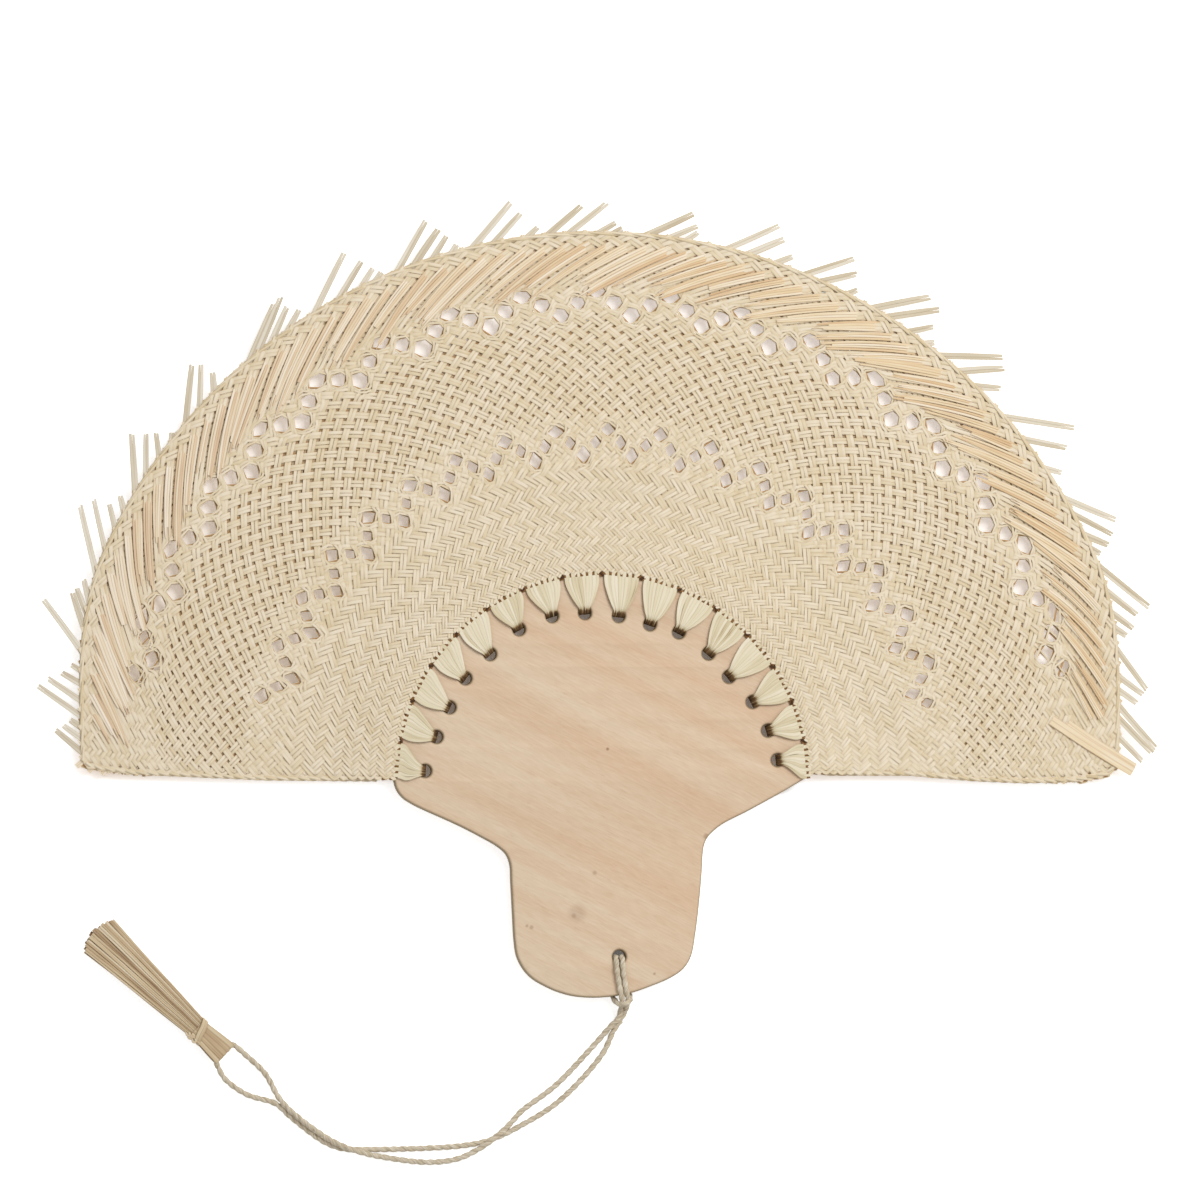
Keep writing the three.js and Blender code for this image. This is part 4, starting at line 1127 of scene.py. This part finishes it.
def lace_side(hole):
    """One side of a bundle, from the seam into its hole: distance from the board's centre, height over its
    middle, and the share of the way from the hole to the seam."""
    return [
        (HEAD_R - 0.7 * MM, LACE_OUT_Z - 0.1 * MM, 1.0),
        (HEAD_R - 2.2 * MM, LACE_OUT_Z, 0.93),
        (HEAD_R * 0.5 + hole * 0.5 + 1.5 * MM, LACE_OUT_Z + 0.25 * MM, 0.55),
        (hole + 4.2 * MM, LACE_OUT_Z + 0.45 * MM, 0.16),
        (hole + 2.4 * MM, LACE_OUT_Z + 0.2 * MM, 0.03),
        (hole + 1.2 * MM, LACE_OUT_Z - 0.9 * MM, 0.0),
        (hole + 0.1 * MM, 1.2 * MM, 0.0),
        (hole - 0.4 * MM, 0.0, 0.0),
    ]


def make_lacing():
    for i in range(LACES):
        hole, hole_angle = hole_place(i)
        middle = (i + 0.5) * LACE_PITCH
        neck_half = LACE_NECK_W / 2
        seam_half = HEAD_R * math.tan(LACE_PITCH / 2) - LACE_SPACE / 2
        side = lace_side(hole)
        route = side + [(r, -z, share) for r, z, share in side[-2::-1]]
        radius, height, spread = centripetal(np.array(route) * [1, 1, SPREAD_L], 0.9 * MM).T
        share = np.clip(spread / SPREAD_L, 0, 1)
        half = neck_half + (seam_half - neck_half) * (1 - (1 - share) ** LACE_SPREAD)
        angle = hole_angle + (middle - hole_angle) * share
        out, over = polar(1.0, angle), polar(1.0, angle + UPRIGHT)
        rails = []
        stray = chance.uniform(*LACE_STRAY) * MM
        for k in range(LACE_STRIPS):
            place = (k + 0.5) / LACE_STRIPS * 2 - 1
            lateral = half * place + stray * np.sin(share * math.pi) * math.sin(k * 1.9 + i)
            plan = out * radius[:, None] + over * lateral[:, None]
            points = raised(plan, BOARD_MID + height + LACE_CROWN * (k % 2) * np.sign(height))
            side_way = square_to(tangents(points), raised(over, 0.0))
            width = half / LACE_STRIPS * LACE_OVERLAP * chance.uniform(*LACE_WIDTHS)
            shade_to = HOLE_SHADE_TO + chance.uniform(*HOLE_SHADE_RAGGED) * MM
            # painted shade: the strips are darkened where they go down into the hole
            hole_shade = 1 - smooth(radius - hole, HOLE_SHADE_FROM, shade_to)
            own_tone = chance.uniform(*LACE_TONES) * (1 - hole_shade)
            tone = own_tone + hole_shade * chance.uniform(*HOLE_SHADE_TONES)
            rails.append(rail(points, width, LACE_HALF_T, tone, side=-side_way))
        fan_strips(f"lacing_{i + 1:02d}", rails, LACING, (f"strand_bundle_{i + 1:02d}",))


# Seam twining: short stitches with dark gaps between them, over a dark core, painted shade that stands for
# the deep shadow in the slot between the board and the blade and closes the slot
STITCHES = 6
STITCH_GAP = 0.95 * MM
STITCH_R = 82.2 * MM
STITCH_REACH = 1.5 * MM
STITCH_Z = 3.3 * MM
STITCH_CROWN = 0.05 * MM
STITCH_HALF_T = 0.12 * MM
STITCH_STRAY, STITCH_GAPS, STITCH_TONES = 0.12, (0.6, 1.3), (0.4, 0.7)
# where a bundle's stitches start and end, as angles from the bundle's edges
STITCH_EDGE = LACE_SPACE * 0.5 / HEAD_R
STITCH_SPAN = LACE_PITCH - 2 * STITCH_EDGE
KNOT_L = 1.6 * MM
KNOT_W = 1.0 * MM
KNOT_HALF_T = 0.22 * MM
KNOT_Z = 3.36 * MM
KNOT_OUT = 0.1 * MM
KNOT_STRAY, KNOT_SLANTS = 0.3, (0.4, 0.9)
# painted shade: the dark tones of the core and of the lumps between the bundles
KNOT_TONE, CORE_TONE = 0.1, 0.55
CORE_ENDS = (math.radians(0.9), math.radians(179.1))
# radius, height from the board's middle, half width along the radius and half height, in millimetres
CORE_BANDS = [(82.2, 3.16, 0.85, 0.18), (83.1, 0.0, 0.62, 2.9), (82.2, -3.16, 0.85, 0.18)]


def make_seam():
    across = np.linspace(-1, 1, 5)
    for side, side_name in ((1, "front"), (-1, "back")):
        rails = []
        for i in range(LACES):
            for k in range(STITCHES):
                angle = i * LACE_PITCH + STITCH_EDGE + STITCH_SPAN * (k + 0.5) / STITCHES
                turn = angle + chance.uniform(-STITCH_STRAY, STITCH_STRAY) * MM / HEAD_R
                height = BOARD_MID + side * (STITCH_Z + STITCH_CROWN * (1 - across**2))
                points = raised(polar(STITCH_R + across * STITCH_REACH, turn), height)
                room = STITCH_SPAN * HEAD_R / STITCHES
                width = (room - STITCH_GAP * chance.uniform(*STITCH_GAPS)) / 2
                tone = chance.uniform(*STITCH_TONES)
                rails.append(rail(points, width, STITCH_HALF_T, tone, up=UP * side))
        fan_strips(f"seam_stitches_{side_name}", rails, LACING, (f"seam_twine_{side_name}",))
    core = []
    for radius, height, half_width, half_height in CORE_BANDS:
        line = raised(polar(radius * MM, np.linspace(*CORE_ENDS, 260)), BOARD_MID + height * MM)
        core.append(rail(line, half_width * MM, half_height * MM, CORE_TONE))
    # dark lumps between the bundles, in the core's painted shade colour
    for side in (1, -1):
        for i in range(1, LACES):
            angle = i * LACE_PITCH + chance.uniform(-KNOT_STRAY, KNOT_STRAY) * MM / HEAD_R
            along = across * KNOT_L / 2
            radius = STITCH_R + KNOT_OUT + along * chance.uniform(*KNOT_SLANTS)
            plan = polar(radius, angle + along * chance.choice([-1, 1]) / HEAD_R)
            line = raised(plan, BOARD_MID + side * KNOT_Z)
            core.append(rail(line, KNOT_W / 2, KNOT_HALF_T, KNOT_TONE, up=UP * side))
    fan_strips("seam_core", core, SEAM_SHADE, sides=8)


make_lacing()
make_seam()


# Board: beech, cut to a half-round head and a grip, its arrises sanded round
ARRIS = 1.3 * MM
ARRIS_STEPS = 3
CORD_HOLE = (6.6 * MM, -69.6 * MM)
CORD_HOLE_R = 2.6 * MM
HOLE_SIDES = 32
WELD = 0.02 * MM
# the cut edge's colour, partly the sawn wood's own and partly painted shade on the sides and arrises, sets in
# between these shares of the arris
CUT_FROM, CUT_TO = 0.03, 0.5
GRIP_OUTLINE = [
    (-83.4, 0.6), (-82.2, -3.4), (-79.8, -6.6), (-76.2, -9), (-72.4, -10.9), (-57, -17.8),
    (-48.6, -22.1), (-41.8, -26), (-38.6, -28.9), (-37, -32.8), (-36.6, -40), (-36.0, -52),
    (-35.4, -63), (-34.4, -69.4), (-31.9, -74.4), (-28.4, -78.2), (-23.8, -81.0), (-18, -83.6),
    (-11.6, -85.3), (-4, -85.9), (4.0, -85.4), (11.5, -84), (19.2, -81.4), (27.4, -77.9),
    (32.4, -74.4), (35.4, -69.6), (37.3, -60), (38.8, -48), (39.9, -36), (40.3, -29.1),
    (41.1, -24.6), (42.7, -21.7), (47.6, -17.4), (58.2, -11.9), (71.3, -4.8), (80.6, 0.6),
]


def weld(mesh):
    work = bmesh.new()
    work.from_mesh(mesh)
    bmesh.ops.remove_doubles(work, verts=work.verts, dist=WELD)
    bmesh.ops.recalc_face_normals(work, faces=work.faces)
    work.to_mesh(mesh)
    work.free()


def board_rings():
    """The board's outline and its holes, as closed rings in plan."""
    grip = centripetal([(x * MM, y * MM, 0) for x, y in GRIP_OUTLINE], 1.2 * MM)[:, :2]
    head = polar(HEAD_R, np.linspace(0, math.pi, 170)[2:-2])
    around = np.linspace(0, 2 * math.pi, HOLE_SIDES, endpoint=False)
    holes = [polar(*hole_place(i)) + polar(HOLE_R, around) for i in range(LACES)]
    return [np.concatenate([head, grip]), *holes, np.array(CORD_HOLE) + polar(CORD_HOLE_R, around)]


def make_board():
    flat = bpy.data.curves.new("board_outline", "CURVE")
    flat.dimensions = "2D"
    flat.fill_mode = "BOTH"
    flat.extrude = BOARD_T / 2 - ARRIS
    flat.bevel_depth = ARRIS
    flat.bevel_resolution = ARRIS_STEPS
    flat.offset = -ARRIS
    for ring in board_rings():
        spline = flat.splines.new("POLY")
        spline.points.add(len(ring) - 1)
        corners = np.column_stack([raised(ring, 0.0), np.ones(len(ring))])
        spline.points.foreach_set("co", corners.ravel())
        spline.use_cyclic_u = True
    source = bpy.data.objects.new("board_outline", flat)
    bpy.context.scene.collection.objects.link(source)
    graph = bpy.context.evaluated_depsgraph_get()
    mesh = bpy.data.meshes.new_from_object(source.evaluated_get(graph), depsgraph=graph)
    bpy.data.objects.remove(source)
    mesh.transform(Matrix.Translation((0, 0, BOARD_MID)))
    weld(mesh)
    places = np.zeros(len(mesh.vertices) * 3, np.float32)
    mesh.vertices.foreach_get("co", places)
    off_face = BOARD_MID - np.abs(places[2::3] - BOARD_MID)
    cut = smooth(off_face, CUT_FROM * ARRIS, CUT_TO * ARRIS).astype(np.float32)
    mesh.attributes.new("cut", "FLOAT", "POINT").data.foreach_set("value", cut)
    mesh.materials.clear()
    mesh.materials.append(BEECH)
    mesh.shade_smooth()
    mesh.set_sharp_from_angle(angle=math.radians(35))
    piece("beech_board", mesh, "fan", ("handle_board",))


make_board()


# Tassel: strips folded over the strap's bight, bound at the neck and left to spread. It is modelled along X
# from the bight, then put in its place on the strap.
TASSEL_BIGHT = (-0.1520, -0.1070, TASSEL_AT)
TASSEL_TURN = math.radians(136.9)
TASSEL_PLACE = Matrix.Translation(TASSEL_BIGHT) @ Matrix.Rotation(TASSEL_TURN, 4, "Z")
HEAD_STRIPS = 5
HEAD_HALF_T = 0.22 * MM
HEAD_CROWN = 0.12
HEAD_OVERLAP, HEAD_TONES = 1.15, (0.3, 0.8)
# one side of the head, from the neck round the bight: along, half width there and height, in millimetres
HEAD_SIDE = [
    (13.5, 4.1, 1.5), (11.0, 4.1, 1.6), (8.5, 4.3, 2.0), (5.4, 4.6, 2.3), (2.7, 4.85, 2.4),
    (0.0, 5.05, 2.3), (-1.4, 5.1, 1.5), (-1.9, 5.0, 0.0),
]
# the binding: two turns round a rounded flat neck, each rising along it
WRAPS = 2
WRAP_AT, WRAP_PITCH, WRAP_CLIMB, WRAP_BOW = 10.6 * MM, 1.3 * MM, 0.35 * MM, 1.9 * MM
WRAP_W, WRAP_H = 4.75 * MM, 2.3 * MM
WRAP_FLATNESS = 0.75
WRAP_HALF_W, WRAP_HALF_T, WRAP_TONES = 0.75 * MM, 0.16 * MM, (0.4, 0.7)
# its end is knotted in small lumps on one side
TASSEL_KNOTS = [(11.0, 4.6), (13.2, 4.7), (14.6, 4.3)]
LUMP_W, LUMP_H, LUMP_Z, LUMP_CLIMB = 0.75 * MM, 0.55 * MM, 1.3 * MM, 0.1 * MM
LUMP_HALF_W, LUMP_HALF_T, LUMP_TONES = 0.5 * MM, 0.3 * MM, (0.5, 0.9)
LUMP_ROUND = 1.6 * math.pi
SKIRT_STRIPS = 17
SKIRT_HALF_T = 0.2 * MM
SKIRT_AT = 12.9 * MM
SKIRT_OVERLAP, SKIRT_WIDTHS, SKIRT_TONES = 1.14, (0.9, 1.1), (0.1, 0.9)
# in millimetres: the skirt's length, how much less it is at the sides and at random, and its half widths
SKIRT_L, SKIRT_L_SIDE, SKIRT_L_RANDOM = 57.5, 3.5, 1.2
SKIRT_HALF_W, SKIRT_MORE_W = 4.3, 4.4
SKIRT_Z, SKIRT_BULGE, SKIRT_STEP, SKIRT_WAVE = 0.7 * MM, 0.9 * MM, 0.22 * MM, 0.2 * MM


def tassel_piece(name, rails, node):
    mesh = strip_mesh(name, rails, TASSEL)
    mesh.transform(TASSEL_PLACE)
    return piece(name, mesh, "tassel", (node,))


def head_rails():
    route = HEAD_SIDE + [(x, w, -z) for x, w, z in HEAD_SIDE[-2::-1]]
    along, half, height = centripetal(np.array(route) * MM, 0.8 * MM).T
    rails = []
    for k in range(HEAD_STRIPS):
        place = (k + 0.5) / HEAD_STRIPS * 2 - 1
        points = np.column_stack([along, half * place, height * (1 - HEAD_CROWN * place**2)])
        side = square_to(tangents(points), np.broadcast_to([0.0, 1.0, 0.0], points.shape))
        width = half / HEAD_STRIPS * HEAD_OVERLAP
        rails.append(rail(points, width, HEAD_HALF_T, chance.uniform(*HEAD_TONES), side=-side))
    return rails


def flattened(wave):
    """A sine or cosine made squarer, for a ring that is round at its sides and flat between them."""
    return np.sign(wave) * np.abs(wave) ** WRAP_FLATNESS


def binding_rails():
    rails = []
    turns = np.linspace(0, 2 * math.pi, 41)
    for k in range(WRAPS):
        x = WRAP_AT + k * WRAP_PITCH + WRAP_CLIMB * turns / (2 * math.pi) - WRAP_BOW * np.cos(turns)
        points = np.column_stack([x, flattened(np.cos(turns)) * WRAP_W, flattened(np.sin(turns)) * WRAP_H])
        side = np.broadcast_to([1.0, 0.0, 0.0], points.shape)
        rails.append(rail(points, WRAP_HALF_W, WRAP_HALF_T, chance.uniform(*WRAP_TONES), side=side))
    around = np.linspace(0, LUMP_ROUND, 13)
    for x, y in TASSEL_KNOTS:
        plan = np.array([x, y]) * MM + polar(1.0, around) * [LUMP_W, LUMP_H]
        points = raised(plan, LUMP_Z + LUMP_CLIMB * around)
        rails.append(rail(points, LUMP_HALF_W, LUMP_HALF_T, chance.uniform(*LUMP_TONES)))
    return rails


def skirt_rails():
    rails = []
    along = np.linspace(0, 1, 26)
    half = (SKIRT_HALF_W + SKIRT_MORE_W * along) * MM
    bulge = SKIRT_BULGE * np.sin(math.pi * np.clip(along * 1.1, 0, 1))
    for layer in (1, -1):
        for k in range(SKIRT_STRIPS):
            place = (k + 0.5) / SKIRT_STRIPS * 2 - 1
            length = (SKIRT_L - SKIRT_L_SIDE * place * place - chance.uniform(0, SKIRT_L_RANDOM)) * MM
            y = half * place + SKIRT_WAVE * np.sin(along * 7 + chance.uniform(0, 6)) * along
            z = layer * (SKIRT_Z + bulge * (1 - 0.5 * place**2) + SKIRT_STEP * (k % 2))
            points = np.column_stack([SKIRT_AT + along * length, y, z])
            width = half / SKIRT_STRIPS * SKIRT_OVERLAP * chance.uniform(*SKIRT_WIDTHS)
            rails.append(rail(points, width, SKIRT_HALF_T, chance.uniform(*SKIRT_TONES), up=UP * layer))
    return rails


tassel_pieces = [
    tassel_piece("tassel_head_strips", head_rails(), "tassel_head"),
    tassel_piece("tassel_binding_wraps", binding_rails(), "tassel_binding"),
    tassel_piece("tassel_skirt_strips", skirt_rails(), "tassel_skirt"),
]


# Light: a large soft lamp from the upper right over an even white room, and a pale table
KEY_PLACE = Vector((0.75, 0.85, 1.75))
KEY_SIZE = 1.1
KEY_POWER = 22.5
ROOM_LEVEL = 0.52
WHITE = "#FFFFFF"
TABLE_GLOW = 0.62
# painted light and shade: the glow under the blade rises and grows less warm from the lower left to the upper
# right
BLADE_GLOW_WAY = (0.295, 0.955, 0.0)
BLADE_GLOW_FROM, BLADE_GLOW_TO = -0.04, 0.21
BLADE_GLOW_LOW, BLADE_GLOW_HIGH = 0.322, 0.507
BLADE_GLOW_WARM, BLADE_GLOW_COOL = "#FFE2C5", "#F8EBE4"
# painted shade: the glow under the board's head with its holes and under the cord hole
HOLE_GLOW = 0.14
CORD_HOLE_GLOW = 0.06
TABLE_SIZE = 6.0
TABLE_Z = CAD_LOW.z - 0.4 * MM


def make_light():
    lamp = bpy.data.lights.new("soft_key", "AREA")
    lamp.shape = "DISK"
    lamp.size = KEY_SIZE
    lamp.energy = KEY_POWER
    key = bpy.data.objects.new("soft_key", lamp)
    bpy.context.scene.collection.objects.link(key)
    key.location = KEY_PLACE
    key.rotation_euler = (KEY_PLACE - VIEW_AIM).to_track_quat("Z", "Y").to_euler()
    world = bpy.data.worlds.new("white_room")
    bpy.context.scene.world = world
    world.use_nodes = True
    tree = world.node_tree
    tree.nodes.clear()
    seen = add(tree, "ShaderNodeLightPath").outputs["Is Camera Ray"]
    limits = {"Value": seen, "To Min": ROOM_LEVEL, "To Max": 1.0}
    level = add(tree, "ShaderNodeMapRange", limits).outputs["Result"]
    room = add(tree, "ShaderNodeBackground", {"Color": linear(WHITE), "Strength": level})
    add(tree, "ShaderNodeOutputWorld", {"Surface": room.outputs["Background"]})


def white_paper():
    """A white paper sweep, matt, that glows a little to the camera, with painted shade in the glow: darker
    right under the blade, darker still under the board's head with its holes, and darkest under the cord
    hole."""
    material, tree, surface = shader("white_paper_sweep", 0.9, specular=0.0)
    surface.inputs["Base Color"].default_value = linear(WHITE)
    rays = add(tree, "ShaderNodeLightPath").outputs
    seen = add(
        tree, "ShaderNodeMath", {0: rays["Is Camera Ray"], 1: rays["Is Glossy Ray"]}, operation="MAXIMUM"
    ).outputs["Value"]
    place = add(tree, "ShaderNodeTexCoord").outputs["Object"]
    flat = add(tree, "ShaderNodeSeparateXYZ", {"Vector": place}).outputs
    radius, hole, along = (
        add(tree, "ShaderNodeVectorMath", {0: place, 1: other}, operation=kind).outputs["Value"]
        for other, kind in (
            ((0, 0, 0), "DISTANCE"),
            ((*CORD_HOLE, TABLE_Z), "DISTANCE"),
            (BLADE_GLOW_WAY, "DOT_PRODUCT"),
        )
    )
    # each zone sets in from the first place to the second, in metres
    zones = {}
    for name, value, low, high in (
        ("within_rim", radius, 0.212, 0.198),
        ("above_selvages", flat["Y"], -0.001, 0.004),
        ("within_board", radius, 0.080, 0.074),
        ("above_grip", flat["Y"], -0.006, -0.003),
        ("cord_hole", hole, 0.006, 0.004),
        ("rise", along, BLADE_GLOW_FROM, BLADE_GLOW_TO),
    ):
        limits = {"Value": value, "From Min": low, "From Max": high}
        zones[name] = add(tree, "ShaderNodeMapRange", limits).outputs["Result"]
    blade, holes = (
        add(
            tree, "ShaderNodeMath", {0: zones[first], 1: zones[second]}, operation="MULTIPLY"
        ).outputs["Value"]
        for first, second in (("within_rim", "above_selvages"), ("within_board", "above_grip"))
    )
    blade_shade_glow = add(
        tree,
        "ShaderNodeMix",
        {"Factor": zones["rise"], 2: BLADE_GLOW_LOW, 3: BLADE_GLOW_HIGH},
        data_type="FLOAT",
    ).outputs[0]
    level = TABLE_GLOW
    for share, below in (
        (blade, blade_shade_glow),
        (holes, HOLE_GLOW),
        (zones["cord_hole"], CORD_HOLE_GLOW),
    ):
        level = add(
            tree, "ShaderNodeMix", {"Factor": share, 2: level, 3: below}, data_type="FLOAT"
        ).outputs[0]
    glow = add(tree, "ShaderNodeMath", {0: seen, 1: level}, operation="MULTIPLY").outputs["Value"]
    tint = add(
        tree,
        "ShaderNodeMix",
        {"Factor": zones["rise"], 6: linear(BLADE_GLOW_WARM), 7: linear(BLADE_GLOW_COOL)},
        data_type="RGBA",
    ).outputs[2]
    warmed = add(
        tree, "ShaderNodeMix", {"Factor": blade, 6: linear(WHITE), 7: tint}, data_type="RGBA"
    ).outputs[2]
    tree.links.new(warmed, surface.inputs["Emission Color"])
    tree.links.new(glow, surface.inputs["Emission Strength"])
    return material


def make_table():
    mesh = bpy.data.meshes.new("table")
    half = TABLE_SIZE / 2
    corners = [(-half, -half), (half, -half), (half, half), (-half, half)]
    mesh.from_pydata([(x, y, TABLE_Z) for x, y in corners], [], [(0, 1, 2, 3)])
    mesh.materials.append(white_paper())
    table = bpy.data.objects.new("table", mesh)
    bpy.context.scene.collection.objects.link(table)


make_light()
make_table()

bpy.context.scene.view_settings.view_transform = "Standard"
bpy.context.view_layer.update()
